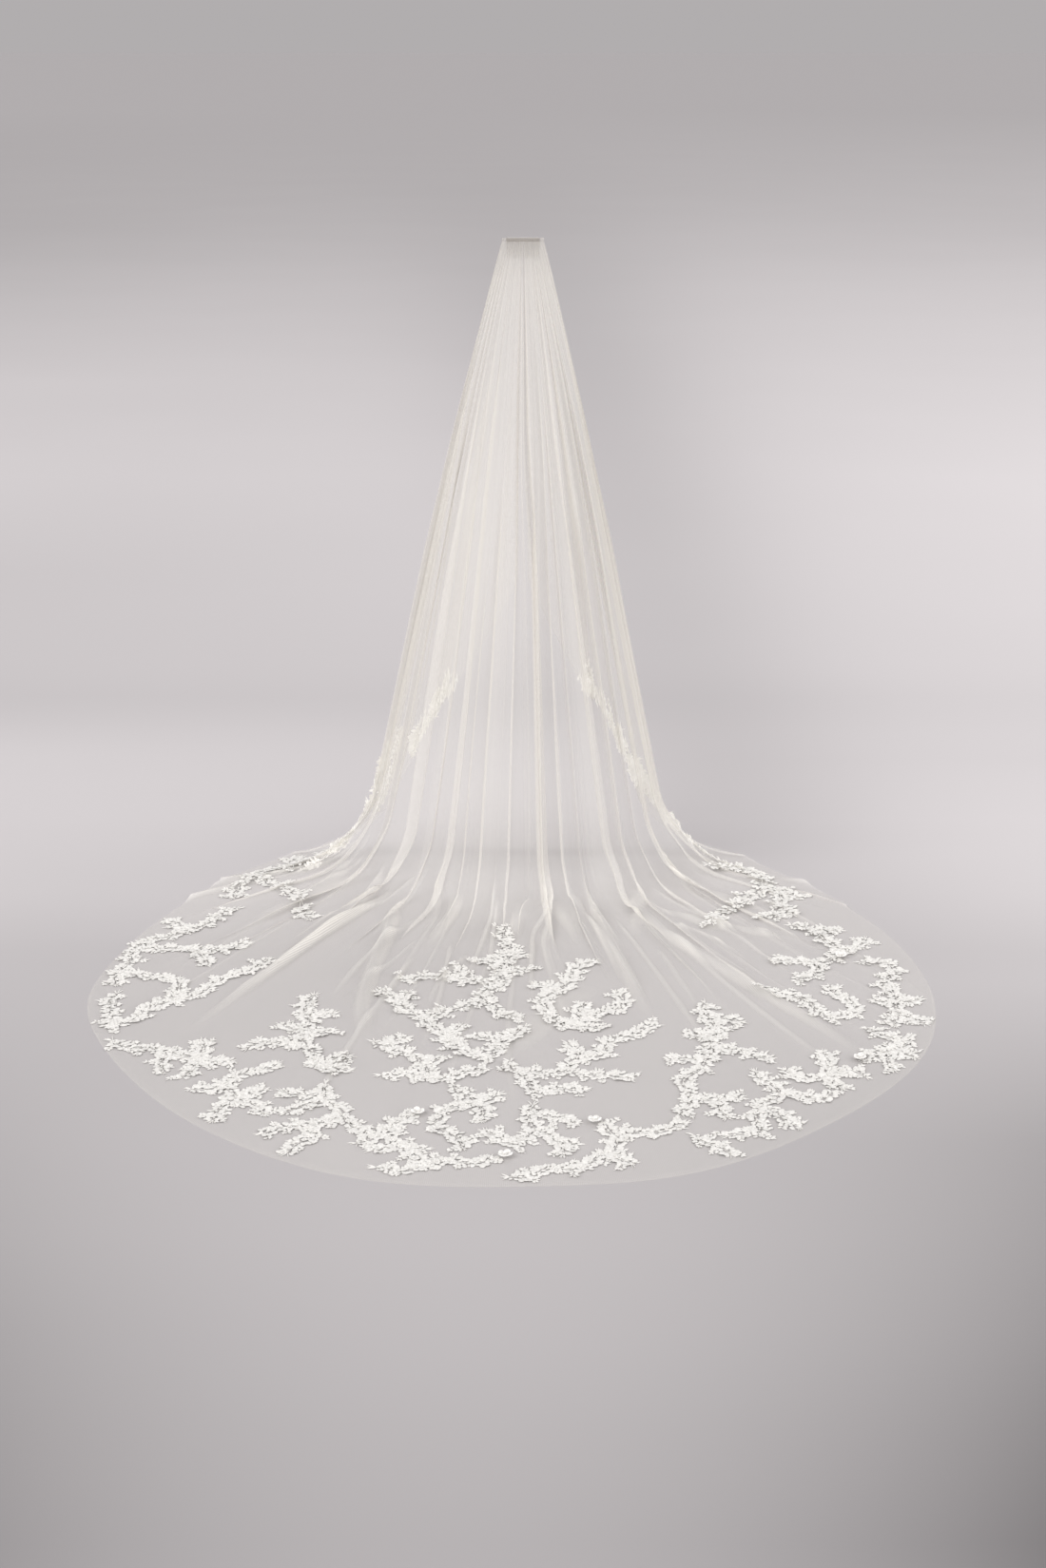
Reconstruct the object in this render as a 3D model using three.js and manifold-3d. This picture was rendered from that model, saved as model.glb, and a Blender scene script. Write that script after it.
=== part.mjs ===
// A long bridal veil: fine net gathered onto a small hair comb, hanging as a narrow pleated cone that is
// open at the back, and spreading over the floor as a round train edged with lace sprays.
// Millimetres, +Z up. The origin is the top of the comb, where it pins on. The train lies towards -Y.

import * as THREE from 'three';
import { mergeVertices } from 'three/addons/utils/BufferGeometryUtils.js';
import Module from 'manifold-3d';

const wasm = await Module();
wasm.setup();

// Driving dimensions
const DROP = 1650; // top of the comb to the floor
const NET = 1.0; // wall of the net
const GAP = 0.3; // clearance between pieces that touch

const HEADING = { width: 97, depth: 11, height: 6 }; // the rolled and stitched gather
const COMB = { width: 76, depth: 3, height: 8, teeth: 20, toothLength: 37, toothRadius: 0.8 };

const TURN = 0.83; // share of the cloth, from its middle, at which it turns round to the back
const BACK_GAP = 3; // from the middle to each side edge, at the heading
const PLEATS = 20; // main pleats across the whole width
const SWELL = 0.25; // how far the hang swells sideways just below the heading
const PLEAT_DEPTH = { top: 1.0, full: 17, fullAt: 760, fade: 150 };

const LACE = { thick: 1.2, lift: 0.35, stem: 10, lobe: 18, step: 42, tip: 6, wave: 0.1 };

// Columns of the cloth, from its left edge (share -1) to its right edge (share 1). Each hangs from the
// heading to its foot, bends over a length of bend, and goes on along the floor. heading is in degrees
// from straight ahead, and run is the length beyond the foot: below zero the column ends above it.
const COLUMNS = [
  { share: -1.0, footX: -20, footY: 112, heading: -140, run: -842, bend: 200 },
  { share: -0.95, footX: -215, footY: 232, heading: -130, run: -590, bend: 210 },
  { share: -0.9, footX: -350, footY: 338, heading: -120, run: -335, bend: 230 },
  { share: -0.85, footX: -420, footY: 392, heading: -100, run: 70, bend: 230 },
  { share: -0.8, footX: -432, footY: 385, heading: -72, run: 283, bend: 220 },
  { share: -0.74, footX: -435, footY: 355, heading: -56, run: 487, bend: 210 },
  { share: -0.66, footX: -415, footY: 310, heading: -46, run: 739, bend: 200 },
  { share: -0.56, footX: -375, footY: 245, heading: -38, run: 1008, bend: 180 },
  { share: -0.44, footX: -308, footY: 172, heading: -28.6, run: 1190, bend: 160 },
  { share: -0.3, footX: -215, footY: 92, heading: -18.4, run: 1344, bend: 150 },
  { share: -0.15, footX: -110, footY: 25, heading: -9, run: 1417, bend: 140 },
  { share: 0, footX: 0, footY: -20, heading: 0.6, run: 1388, bend: 140 },
  { share: 0.15, footX: 110, footY: 22, heading: 9.5, run: 1394, bend: 140 },
  { share: 0.3, footX: 212, footY: 88, heading: 19.6, run: 1295, bend: 150 },
  { share: 0.44, footX: 298, footY: 162, heading: 28.8, run: 1164, bend: 160 },
  { share: 0.56, footX: 350, footY: 240, heading: 36.4, run: 994, bend: 180 },
  { share: 0.66, footX: 380, footY: 308, heading: 44.5, run: 757, bend: 200 },
  { share: 0.74, footX: 396, footY: 358, heading: 53, run: 505, bend: 210 },
  { share: 0.8, footX: 393, footY: 390, heading: 66, run: 284, bend: 220 },
  { share: 0.85, footX: 378, footY: 398, heading: 98, run: 70, bend: 230 },
  { share: 0.9, footX: 310, footY: 342, heading: 120, run: -335, bend: 230 },
  { share: 0.95, footX: 192, footY: 236, heading: 130, run: -590, bend: 210 },
  { share: 1.0, footX: 25, footY: 112, heading: 140, run: -842, bend: 200 },
];

// Folds that carry on over the floor: the share they start and end at, the length along the floor that
// they reach, and their height and half width (a share) at the foot.
const FLOOR_FOLDS = [
  { start: -0.5, end: -0.47, reach: 350, height: 26, width: 0.028 },
  { start: -0.43, end: -0.43, reach: 540, height: 24, width: 0.026 },
  { start: -0.38, end: -0.28, reach: 560, height: 34, width: 0.026 },
  { start: -0.22, end: -0.22, reach: 340, height: 30, width: 0.026 },
  { start: 0.0, end: 0.0, reach: 110, height: 22, width: 0.026 },
  { start: 0.14, end: 0.14, reach: 300, height: 26, width: 0.026 },
  { start: 0.21, end: 0.2, reach: 500, height: 30, width: 0.026 },
  { start: 0.32, end: 0.38, reach: 560, height: 26, width: 0.026 },
  { start: 0.5, end: 0.56, reach: 360, height: 22, width: 0.028 },
];

const GRID = { across: 80, hang: 6, bend: 5, floor: 4 };

// A smooth value of one named quantity between the rows of a table that is ordered by share.
function between(rows, share, name) {
  let k = 0;
  while (k < rows.length - 2 && share > rows[k + 1].share) k += 1;
  const slope = (i) => {
    const low = rows[Math.max(i - 1, 0)];
    const high = rows[Math.min(i + 1, rows.length - 1)];
    return (high[name] - low[name]) / (high.share - low.share);
  };
  const span = rows[k + 1].share - rows[k].share;
  const t = Math.min(Math.max((share - rows[k].share) / span, 0), 1);
  const from = rows[k][name] * (1 + 2 * t) * (1 - t) ** 2 + slope(k) * span * t * (1 - t) ** 2;
  const to = rows[k + 1][name] * t * t * (3 - 2 * t) - slope(k + 1) * span * t * t * (1 - t);
  return from + to;
}

// Where a column leaves the heading: a flattened loop, its front outwards and its side edges behind.
function gatherPoint(share) {
  const side = Math.sign(share);
  const half = HEADING.width / 2 - NET / 2;
  const deep = HEADING.depth / 2 - NET / 2;
  const away = Math.abs(share);
  const z = -HEADING.height - GAP;
  if (away < TURN) {
    const across = away / TURN;
    return new THREE.Vector3(side * half * across, -deep * (1 - across ** 6), z);
  }
  const back = (away - TURN) / (1 - TURN);
  const x = half + (BACK_GAP - half) * back;
  return new THREE.Vector3(side * x, deep * (1 - (1 - back) ** 6), z);
}

// The lie of one column: its bearings, and the lengths at which it starts and ends its bend.
function column(share) {
  const value = (name) => between(COLUMNS, share, name);
  const top = gatherPoint(share);
  const foot = new THREE.Vector3(value('footX'), value('footY'), NET / 2 - DROP);
  const turn = THREE.MathUtils.degToRad(value('heading'));
  const hang = foot.distanceTo(top);
  const length = hang + value('run');
  const bend = value('bend');
  return {
    share,
    top,
    foot,
    hang,
    length,
    bend,
    down: foot.clone().sub(top).normalize(),
    along: new THREE.Vector3(Math.sin(turn), -Math.cos(turn), 0),
    bendFrom: Math.min(hang - bend, length * 0.7),
    bendTo: Math.min(hang + bend, length * 0.86),
  };
}

// The hang leaves the heading plumb, and swells a little to each side before it falls straight.
function held(col, s) {
  const t = Math.min(s / col.hang, 1);
  const ease = t * (1 - t) ** 3;
  const reachX = col.foot.x - col.top.x;
  const reachY = col.foot.y - col.top.y;
  return new THREE.Vector3(SWELL * ease * reachX, -ease * reachY, 0);
}

function pointOn(col, s) {
  if (s <= col.hang - col.bend) return held(col, s).add(col.top).addScaledVector(col.down, s);
  if (s >= col.hang + col.bend) return col.foot.clone().addScaledVector(col.along, s - col.hang);
  const t = (s - col.hang + col.bend) / (2 * col.bend);
  const start = held(col, s).add(col.foot).addScaledVector(col.down, -col.bend * (1 - t) ** 2);
  return start.addScaledVector(col.along, col.bend * t * t);
}

// Length along a column at a row of the grid: even rows down the hang, round the bend and over the floor.
function lengthAt(col, row) {
  if (row <= GRID.hang) return (col.bendFrom * row) / GRID.hang;
  const bendRow = row - GRID.hang;
  if (bendRow <= GRID.bend) return col.bendFrom + ((col.bendTo - col.bendFrom) * bendRow) / GRID.bend;
  const floorRow = bendRow - GRID.bend;
  return col.bendTo + ((col.length - col.bendTo) * floorRow) / GRID.floor;
}

// How far the cloth stands proud of its smooth form: pleats while it hangs, and folds on the floor.
function proud(col, s) {
  const pleat = PLEAT_DEPTH;
  const onFloor = s - col.hang;
  const grown = pleat.top + (pleat.full - pleat.top) * Math.min(s / pleat.fullAt, 1);
  const fade = 1 - THREE.MathUtils.smoothstep(onFloor, -col.bend, pleat.fade);
  const turning = 1 - 0.6 * Math.exp(-(((Math.abs(col.share) - TURN) / 0.05) ** 2));
  const lifted = THREE.MathUtils.smoothstep(onFloor, -col.bend, 0);
  const wave = Math.cos(Math.PI * PLEATS * col.share) + lifted;
  let height = grown * fade * turning * wave;
  for (const fold of FLOOR_FOLDS) {
    const t = Math.min(Math.max(onFloor / fold.reach, 0), 1);
    const middle = fold.start + (fold.end - fold.start) * t;
    const reach = 1 - THREE.MathUtils.smoothstep(onFloor, fold.reach * 0.55, fold.reach);
    const spread = Math.exp(-(((col.share - middle) / fold.width) ** 2));
    height += fold.height * reach * spread * lifted * (1 - 0.45 * t);
  }
  return height;
}

// Grid of points on the middle of the cloth, with the outward normal at each.
const ACROSS = GRID.across + 1;
const ROWS = GRID.hang + GRID.bend + GRID.floor + 1;

function clothGrid() {
  const smooth = [];
  const cols = [];
  for (let i = 0; i < ACROSS; i += 1) cols.push(column(-1 + (2 * i) / GRID.across));
  for (let j = 0; j < ROWS; j += 1) {
    for (const col of cols) smooth.push(pointOn(col, lengthAt(col, j)));
  }
  const facing = normalsOf(smooth);
  const points = smooth.map((p, n) => {
    const col = cols[n % ACROSS];
    const s = lengthAt(col, Math.floor(n / ACROSS));
    return p.clone().addScaledVector(facing[n], proud(col, s));
  });
  return { points, normals: normalsOf(points) };
}

function normalsOf(points) {
  const at = (i, j) => points[Math.min(Math.max(j, 0), ROWS - 1) * ACROSS + Math.min(Math.max(i, 0), ACROSS - 1)];
  return points.map((_, n) => {
    const i = n % ACROSS;
    const j = Math.floor(n / ACROSS);
    const down = at(i, j + 1).clone().sub(at(i, j - 1));
    const across = at(i + 1, j).clone().sub(at(i - 1, j));
    return down.cross(across).normalize();
  });
}

// A closed sheet between two skins over the same grid cells; the first skin is the outer one.
function sheetBetween(outer, inner, wide, high) {
  const faces = [];
  const behind = wide * high;
  const quad = (a, b, c, d) => faces.push(a, b, c, a, c, d);
  for (let j = 0; j < high - 1; j += 1) {
    for (let i = 0; i < wide - 1; i += 1) {
      const n = j * wide + i;
      quad(n, n + wide, n + wide + 1, n + 1);
      quad(behind + n, behind + n + 1, behind + n + wide + 1, behind + n + wide);
    }
  }
  const rim = [];
  for (let j = 0; j < high - 1; j += 1) rim.push([j * wide, (j + 1) * wide]);
  for (let i = 0; i < wide - 1; i += 1) rim.push([(high - 1) * wide + i, (high - 1) * wide + i + 1]);
  for (let j = high - 1; j > 0; j -= 1) rim.push([j * wide + wide - 1, (j - 1) * wide + wide - 1]);
  for (let i = wide - 1; i > 0; i -= 1) rim.push([i, i - 1]);
  for (const [a, b] of rim) quad(a, behind + a, behind + b, b);
  const geometry = new THREE.BufferGeometry();
  const flat = [...outer, ...inner].flatMap((p) => [p.x, p.y, p.z]);
  geometry.setAttribute('position', new THREE.Float32BufferAttribute(flat, 3));
  geometry.setIndex(faces);
  return geometry;
}

const offset = (points, normals, by) => points.map((p, n) => p.clone().addScaledVector(normals[n], by));

// Solids for joining and cutting
function solid(geometry) {
  const bare = geometry.clone();
  bare.deleteAttribute('normal');
  bare.deleteAttribute('uv');
  const merged = mergeVertices(bare, 1e-4);
  return new wasm.Manifold(
    new wasm.Mesh({
      numProp: 3,
      vertProperties: new Float32Array(merged.attributes.position.array),
      triVerts: new Uint32Array(merged.index.array),
    }),
  );
}

function geometryOf(body) {
  const mesh = body.getMesh();
  const geometry = new THREE.BufferGeometry();
  geometry.setAttribute('position', new THREE.BufferAttribute(mesh.vertProperties, 3));
  geometry.setIndex(new THREE.BufferAttribute(mesh.triVerts, 1));
  return geometry;
}

const joined = (bodies) => bodies.reduce((whole, body) => whole.add(body));

// Materials
const net = new THREE.MeshStandardMaterial({ color: 0xe6e2da, roughness: 0.7, metalness: 0 });
const lace = new THREE.MeshStandardMaterial({ color: 0xf4f1ea, roughness: 0.85, metalness: 0 });
const thread = new THREE.MeshStandardMaterial({ color: 0xefebe2, roughness: 0.8, metalness: 0 });
const wire = new THREE.MeshStandardMaterial({ color: 0x9a968e, roughness: 0.3, metalness: 0.9 });

const veil = new THREE.Group();

function piece(name, geometry, material) {
  const bare = geometry.toNonIndexed();
  bare.computeVertexNormals();
  const mesh = new THREE.Mesh(bare, material);
  mesh.name = name;
  veil.add(mesh);
}

// Comb: a flat spine with a row of round tapered teeth, all one piece.
function combBody() {
  const spine = new THREE.BoxGeometry(COMB.width, COMB.depth, COMB.height);
  spine.translate(0, 0, -COMB.height / 2);
  const parts = [solid(spine)];
  const pitch = (COMB.width - 4 * COMB.toothRadius) / (COMB.teeth - 1);
  const root = COMB.height - COMB.toothRadius;
  for (let k = 0; k < COMB.teeth; k += 1) {
    const long = COMB.toothLength + COMB.toothRadius;
    const tooth = new THREE.CylinderGeometry(COMB.toothRadius, COMB.toothRadius * 0.5, long, 6);
    tooth.rotateX(Math.PI / 2);
    tooth.translate(pitch * (k - (COMB.teeth - 1) / 2), 0, -root - long / 2);
    parts.push(solid(tooth));
  }
  return joined(parts);
}

// Heading: the rolled gather, a flat-sided roll with a slot that the comb's spine is sewn into.
function headingBody() {
  const end = HEADING.depth / 2;
  const reach = HEADING.width / 2 - end;
  const outline = new THREE.Shape();
  outline.absarc(reach, 0, end, -Math.PI / 2, Math.PI / 2, false);
  outline.absarc(-reach, 0, end, Math.PI / 2, (3 * Math.PI) / 2, false);
  const roll = new THREE.ExtrudeGeometry(outline, {
    depth: HEADING.height,
    bevelEnabled: false,
    curveSegments: 8,
  });
  roll.translate(0, 0, -HEADING.height);
  const slot = new THREE.BoxGeometry(COMB.width + 2 * GAP, COMB.depth + 2 * GAP, HEADING.height * 3);
  return solid(roll).subtract(solid(slot));
}

piece('comb', geometryOf(combBody()), wire);
piece('heading', geometryOf(headingBody()), thread);

// Net: the whole veil is one cut of cloth, so it is one solid.
const cloth = clothGrid();
const face = offset(cloth.points, cloth.normals, NET / 2);
const back = offset(cloth.points, cloth.normals, -NET / 2);
piece('tulle', sheetBetween(face, back, ACROSS, ROWS), net);

// Lace. Each spray is charted as the branches of its stem, over the floor (x, y) or over the hanging
// side flaps (x, height above the floor): where a branch starts and where it ends.
const FLOOR_SPRAYS = {
  lace_left_back: [
    [-520, 340, -580, 295], [-580, 295, -680, 258], [-680, 258, -738, 70], [-620, 285, -606, 350],
    [-690, 225, -620, 130], [-620, 130, -565, 30], [-565, 30, -532, -70],
  ],
  lace_left_shoulder: [
    [-722, -8, -770, -75], [-770, -75, -830, -150], [-830, -150, -885, -85], [-830, -150, -905, -200],
    [-905, -200, -940, -300], [-940, -300, -950, -385], [-950, -385, -942, -470], [-930, -270, -790, -270],
    [-790, -270, -670, -230], [-800, -270, -750, -355], [-950, -400, -885, -415],
  ],
  lace_left_side: [
    [-935, -520, -930, -625], [-930, -625, -930, -700], [-930, -700, -870, -660], [-870, -660, -810, -565],
    [-810, -565, -805, -440], [-805, -450, -850, -420], [-810, -565, -735, -505], [-735, -505, -670, -410],
    [-670, -410, -612, -330],
  ],
  lace_left_corner: [
    [-900, -770, -850, -805], [-850, -805, -770, -825], [-770, -825, -765, -920], [-770, -825, -705, -870],
    [-705, -870, -705, -770], [-705, -870, -720, -945], [-705, -870, -630, -870],
  ],
  lace_left_front: [
    [-695, -1000, -635, -990], [-635, -990, -580, -920], [-580, -920, -530, -885], [-635, -990, -595, -1040],
    [-595, -1040, -630, -1140], [-595, -1040, -530, -1112], [-595, -1030, -545, -1005],
  ],
  lace_left_spray: [
    [-480, -530, -490, -625], [-490, -625, -485, -710], [-485, -710, -475, -795], [-475, -795, -445, -895],
    [-490, -640, -430, -625], [-485, -710, -535, -690], [-480, -735, -425, -720], [-475, -795, -550, -770],
    [-550, -770, -600, -805], [-445, -895, -380, -850], [-445, -895, -375, -910],
  ],
  lace_left_root: [
    [-415, -985, -400, -1060], [-400, -1060, -370, -1115], [-370, -1115, -310, -1195], [-412, -1025, -500, -1012],
    [-400, -1060, -485, -1105], [-370, -1115, -455, -1165], [-455, -1165, -520, -1195], [-455, -1165, -415, -1205],
    [-415, -1205, -465, -1275],
  ],
  lace_middle_spray: [
    [-40, -130, -40, -215], [-40, -215, -50, -360], [-50, -360, -40, -455], [-40, -455, -90, -515],
    [-90, -515, -85, -570], [-85, -570, -60, -625], [-60, -625, -10, -650], [-45, -290, 5, -305],
    [-48, -330, -110, -345], [-45, -400, 12, -395], [-60, -475, -145, -445], [-145, -445, -145, -375],
    [-145, -445, -230, -425], [-230, -425, -280, -442], [-85, -570, -145, -600],
  ],
  lace_middle_right: [
    [48, -645, 38, -560], [38, -560, 75, -515], [75, -515, 115, -395], [115, -395, 168, -338],
    [75, -515, 32, -465], [48, -645, 95, -700], [95, -700, 130, -665], [130, -665, 140, -585],
    [130, -665, 170, -635], [170, -635, 225, -600], [225, -600, 216, -515], [95, -700, 165, -712],
  ],
  lace_middle_left: [
    [5, -705, -20, -755], [-20, -755, -105, -745], [-20, -755, -65, -845], [-65, -845, -100, -855],
    [-100, -855, -160, -795], [-160, -795, -140, -695], [-160, -795, -210, -690], [-210, -690, -215, -655],
    [-215, -655, -175, -605], [-215, -655, -275, -580], [-275, -580, -335, -515], [-275, -580, -262, -525],
  ],
  lace_inner_left: [
    [-325, -775, -295, -795], [-295, -795, -260, -755], [-295, -795, -250, -835], [-250, -835, -215, -885],
    [-215, -885, -180, -855], [-215, -885, -205, -955], [-300, -935, -255, -925], [-255, -925, -205, -955],
    [-205, -955, -135, -935], [-135, -935, -85, -915],
  ],
  lace_inner_root: [
    [-145, -985, -125, -1025], [-125, -1025, -95, -1065], [-95, -1065, -55, -1025], [-95, -1065, -85, -1140],
    [-95, -1065, -170, -1105], [-170, -1105, -180, -1150], [-180, -1150, -150, -1190], [-150, -1190, -120, -1255],
  ],
  lace_hem_left: [
    [-330, -1235, -265, -1165], [-265, -1165, -225, -1120], [-265, -1165, -245, -1255], [-245, -1255, -195, -1262],
    [-245, -1255, -295, -1265], [-285, -1335, -245, -1350], [-245, -1350, -200, -1325], [-245, -1255, -200, -1325],
    [-200, -1325, -155, -1310], [-155, -1310, -105, -1320], [-105, -1320, -65, -1300],
  ],
  lace_middle_root: [
    [-28, -880, -10, -925], [-10, -925, 15, -995], [15, -995, 40, -1025], [40, -1025, 75, -995],
    [75, -995, 125, -1000], [-10, -925, 50, -925], [50, -925, 95, -915], [95, -915, 120, -855],
    [120, -855, 175, -835], [175, -835, 205, -755], [205, -755, 260, -720], [260, -720, 295, -690],
    [95, -915, 175, -935], [175, -935, 225, -955], [120, -855, 100, -785],
  ],
  lace_hem_middle: [
    [20, -1075, 25, -1180], [25, -1115, 105, -1150], [25, -1180, 5, -1235], [5, -1235, -35, -1235],
    [-35, -1235, -75, -1190], [25, -1180, 60, -1215], [60, -1215, 105, -1240], [60, -1215, 80, -1280],
  ],
  lace_hem_right: [
    [-25, -1372, 25, -1362], [25, -1362, 65, -1335], [65, -1335, 125, -1335], [125, -1335, 170, -1275],
    [170, -1275, 190, -1210], [190, -1210, 165, -1155], [170, -1275, 212, -1315], [190, -1210, 240, -1190],
    [240, -1190, 290, -1180], [290, -1180, 325, -1155],
  ],
  lace_right_back: [
    [490, 268, 575, 280], [575, 280, 620, 195], [620, 195, 640, 130], [640, 130, 705, 65],
    [640, 130, 570, 50], [570, 50, 525, -10], [525, -10, 468, -125], [640, 130, 655, 30],
    [655, 30, 675, -55], [670, -35, 595, -58],
  ],
  lace_right_shoulder: [
    [665, -118, 730, -150], [730, -150, 775, -150], [730, -150, 735, -220], [735, -220, 760, -290],
    [760, -290, 835, -205], [760, -290, 695, -355], [695, -355, 600, -330], [695, -355, 680, -425],
    [680, -425, 640, -450],
  ],
  lace_right_side: [
    [805, -345, 855, -330], [855, -330, 875, -410], [875, -410, 835, -485], [835, -485, 855, -565],
    [855, -565, 905, -552], [855, -565, 805, -562], [855, -565, 850, -635], [850, -635, 895, -680],
    [850, -635, 828, -690],
  ],
  lace_right_inner: [
    [540, -485, 610, -530], [610, -530, 660, -600], [660, -600, 700, -660], [700, -660, 750, -625],
    [750, -625, 740, -550], [740, -550, 710, -485],
  ],
  lace_right_corner: [
    [765, -705, 850, -770], [850, -770, 800, -815], [800, -815, 735, -860], [800, -815, 842, -850],
    [800, -815, 790, -910],
  ],
  lace_right_front: [
    [725, -945, 685, -905], [685, -905, 635, -950], [640, -940, 650, -830], [635, -950, 665, -995],
    [635, -950, 590, -960], [590, -960, 562, -915],
  ],
  lace_right_hem: [
    [495, -920, 515, -970], [515, -970, 535, -1025], [535, -1025, 575, -1025], [575, -1025, 605, -1055],
    [605, -1055, 642, -1018], [535, -1025, 500, -1060], [500, -1060, 475, -1145], [500, -1085, 525, -1115],
    [525, -1115, 555, -1165], [475, -1145, 470, -1200], [470, -1200, 415, -1205],
  ],
  lace_right_spray: [
    [415, -575, 420, -650], [420, -650, 485, -675], [420, -650, 445, -720], [445, -720, 365, -745],
    [445, -720, 410, -805], [410, -805, 465, -815], [465, -815, 530, -855], [410, -805, 390, -870],
    [390, -870, 315, -860], [390, -870, 365, -925], [365, -925, 335, -980], [335, -980, 345, -1045],
    [345, -1045, 410, -1045], [410, -1045, 450, -1040], [410, -1045, 415, -1125], [345, -1045, 322, -1108],
  ],
  lace_right_tail: [[345, -1205, 365, -1235], [365, -1235, 410, -1282]],
};

const FLAP_SPRAYS = {
  lace_flap_left: [
    [-150, 590, -200, 500], [-200, 500, -238, 432], [-238, 432, -300, 372], [-300, 372, -328, 305],
    [-200, 500, -176, 560], [-238, 432, -268, 470],
  ],
  lace_flap_right: [
    [115, 575, 160, 490], [160, 490, 205, 425], [205, 425, 262, 368], [262, 368, 290, 300],
    [205, 425, 240, 450],
  ],
};

// Scalloped ribbon along one branch, bowed a little to one side, as an upright prism over the chart.
function branchPrism([fromX, fromY, toX, toY], index) {
  const from = new THREE.Vector2(fromX, fromY);
  const along = new THREE.Vector2(toX, toY).sub(from);
  const aside = new THREE.Vector2(-along.y, along.x);
  const steps = Math.max(2, Math.round(along.length() / LACE.step));
  const bow = index % 2 ? LACE.wave : -LACE.wave;
  const left = [];
  const right = [];
  for (let k = 0; k <= steps; k += 1) {
    const t = k / steps;
    const centre = from.clone().addScaledVector(along, t);
    centre.addScaledVector(aside, bow * Math.sin(Math.PI * t));
    const half = k === steps ? LACE.tip : k % 2 ? LACE.lobe : LACE.stem;
    const side = aside.clone().setLength(half);
    left.push(centre.clone().add(side));
    right.unshift(centre.clone().sub(side));
  }
  const prism = new THREE.ExtrudeGeometry(new THREE.Shape([...left, ...right]), {
    depth: DROP,
    bevelEnabled: false,
  });
  return prism;
}

// Skins of a lace layer over part of the cloth's face, raised along one direction.
function laceShell(direction, columnRange, rowRange) {
  const wide = columnRange[1] - columnRange[0] + 1;
  const high = rowRange[1] - rowRange[0] + 1;
  const under = [];
  const over = [];
  for (let j = rowRange[0]; j <= rowRange[1]; j += 1) {
    for (let i = columnRange[0]; i <= columnRange[1]; i += 1) {
      const p = face[j * ACROSS + i];
      under.push(p.clone().addScaledVector(direction, LACE.lift));
      over.push(p.clone().addScaledVector(direction, LACE.lift + LACE.thick));
    }
  }
  return solid(sheetBetween(over, under, wide, high));
}

const LAST_ROW = ROWS - 1;
const FLAT_FROM = GRID.hang + 3; // row of the bend below which the cloth is flat enough for floor sprays
const TURN_COLUMN = 6; // columns from each edge that lie behind the turn

const floorShell = laceShell(
  new THREE.Vector3(0, 0, 1),
  [TURN_COLUMN, GRID.across - TURN_COLUMN],
  [FLAT_FROM, LAST_ROW],
);
const under = NET - DROP + LACE.lift;
const layer = new THREE.BoxGeometry(2 * DROP, 2 * DROP, LACE.thick).translate(0, 0, under + LACE.thick / 2);
const flatLayer = solid(layer);

// A spray that lies wholly on flat net is cut from one flat layer, and the others follow the folds.
for (const [name, branches] of Object.entries(FLOOR_SPRAYS)) {
  const prisms = branches.map((branch, index) => {
    const prism = branchPrism(branch, index);
    prism.translate(0, 0, -DROP - 1);
    return solid(prism);
  });
  const outline = joined(prisms);
  const draped = outline.intersect(floorShell);
  const box = draped.boundingBox();
  const isFlat = box.max[2] - box.min[2] < LACE.thick + 0.01;
  piece(name, geometryOf(isFlat ? outline.intersect(flatLayer) : draped), lace);
}

const flapColumns = {
  lace_flap_left: [0, TURN_COLUMN],
  lace_flap_right: [GRID.across - TURN_COLUMN, GRID.across],
};
for (const [name, branches] of Object.entries(FLAP_SPRAYS)) {
  const flapShell = laceShell(new THREE.Vector3(0, 1, 0), flapColumns[name], [1, LAST_ROW]);
  const prisms = branches.map((branch, index) => {
    const prism = branchPrism(branch, index);
    prism.rotateX(Math.PI / 2);
    prism.translate(0, DROP, -DROP);
    return solid(prism);
  });
  piece(name, geometryOf(joined(prisms).intersect(flapShell)), lace);
}

export default veil;
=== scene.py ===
"""A long bridal veil: fine net gathered onto a hair comb, hanging open at the back and lying out over the
floor as a round train with sewn lace. Metres, +Z up; the origin is the top of the comb."""

import math

import bpy
import numpy as np
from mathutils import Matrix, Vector
from mathutils.bvhtree import BVHTree


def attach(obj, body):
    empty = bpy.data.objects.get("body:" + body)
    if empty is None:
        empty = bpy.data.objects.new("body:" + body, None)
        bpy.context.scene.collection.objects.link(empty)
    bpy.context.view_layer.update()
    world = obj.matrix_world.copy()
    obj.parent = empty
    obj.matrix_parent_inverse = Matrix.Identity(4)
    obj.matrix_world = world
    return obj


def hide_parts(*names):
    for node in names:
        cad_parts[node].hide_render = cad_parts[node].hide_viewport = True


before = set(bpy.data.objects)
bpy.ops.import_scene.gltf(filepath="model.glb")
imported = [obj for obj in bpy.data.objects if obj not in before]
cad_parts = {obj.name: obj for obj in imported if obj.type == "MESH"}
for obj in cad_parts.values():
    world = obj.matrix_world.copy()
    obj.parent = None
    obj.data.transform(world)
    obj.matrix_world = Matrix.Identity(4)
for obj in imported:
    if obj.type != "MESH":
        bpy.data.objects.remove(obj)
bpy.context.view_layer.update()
scene = bpy.context.scene


# Viewpoint. The veil stands on a studio floor and is seen from in front of its train, from a little above
# the comb, through a lens of ordinary length.
DROP = 1.65  # top of the comb to the floor
FLOOR = -DROP
MM = 0.001

EYE = {"back": 5.1035, "above_floor": 2.0893, "tilt_down": 19.0}
PICTURE_HIGH = 1649  # pixels
FOCAL = 2290  # pixels
FILM_HIGH = 36.0

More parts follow.
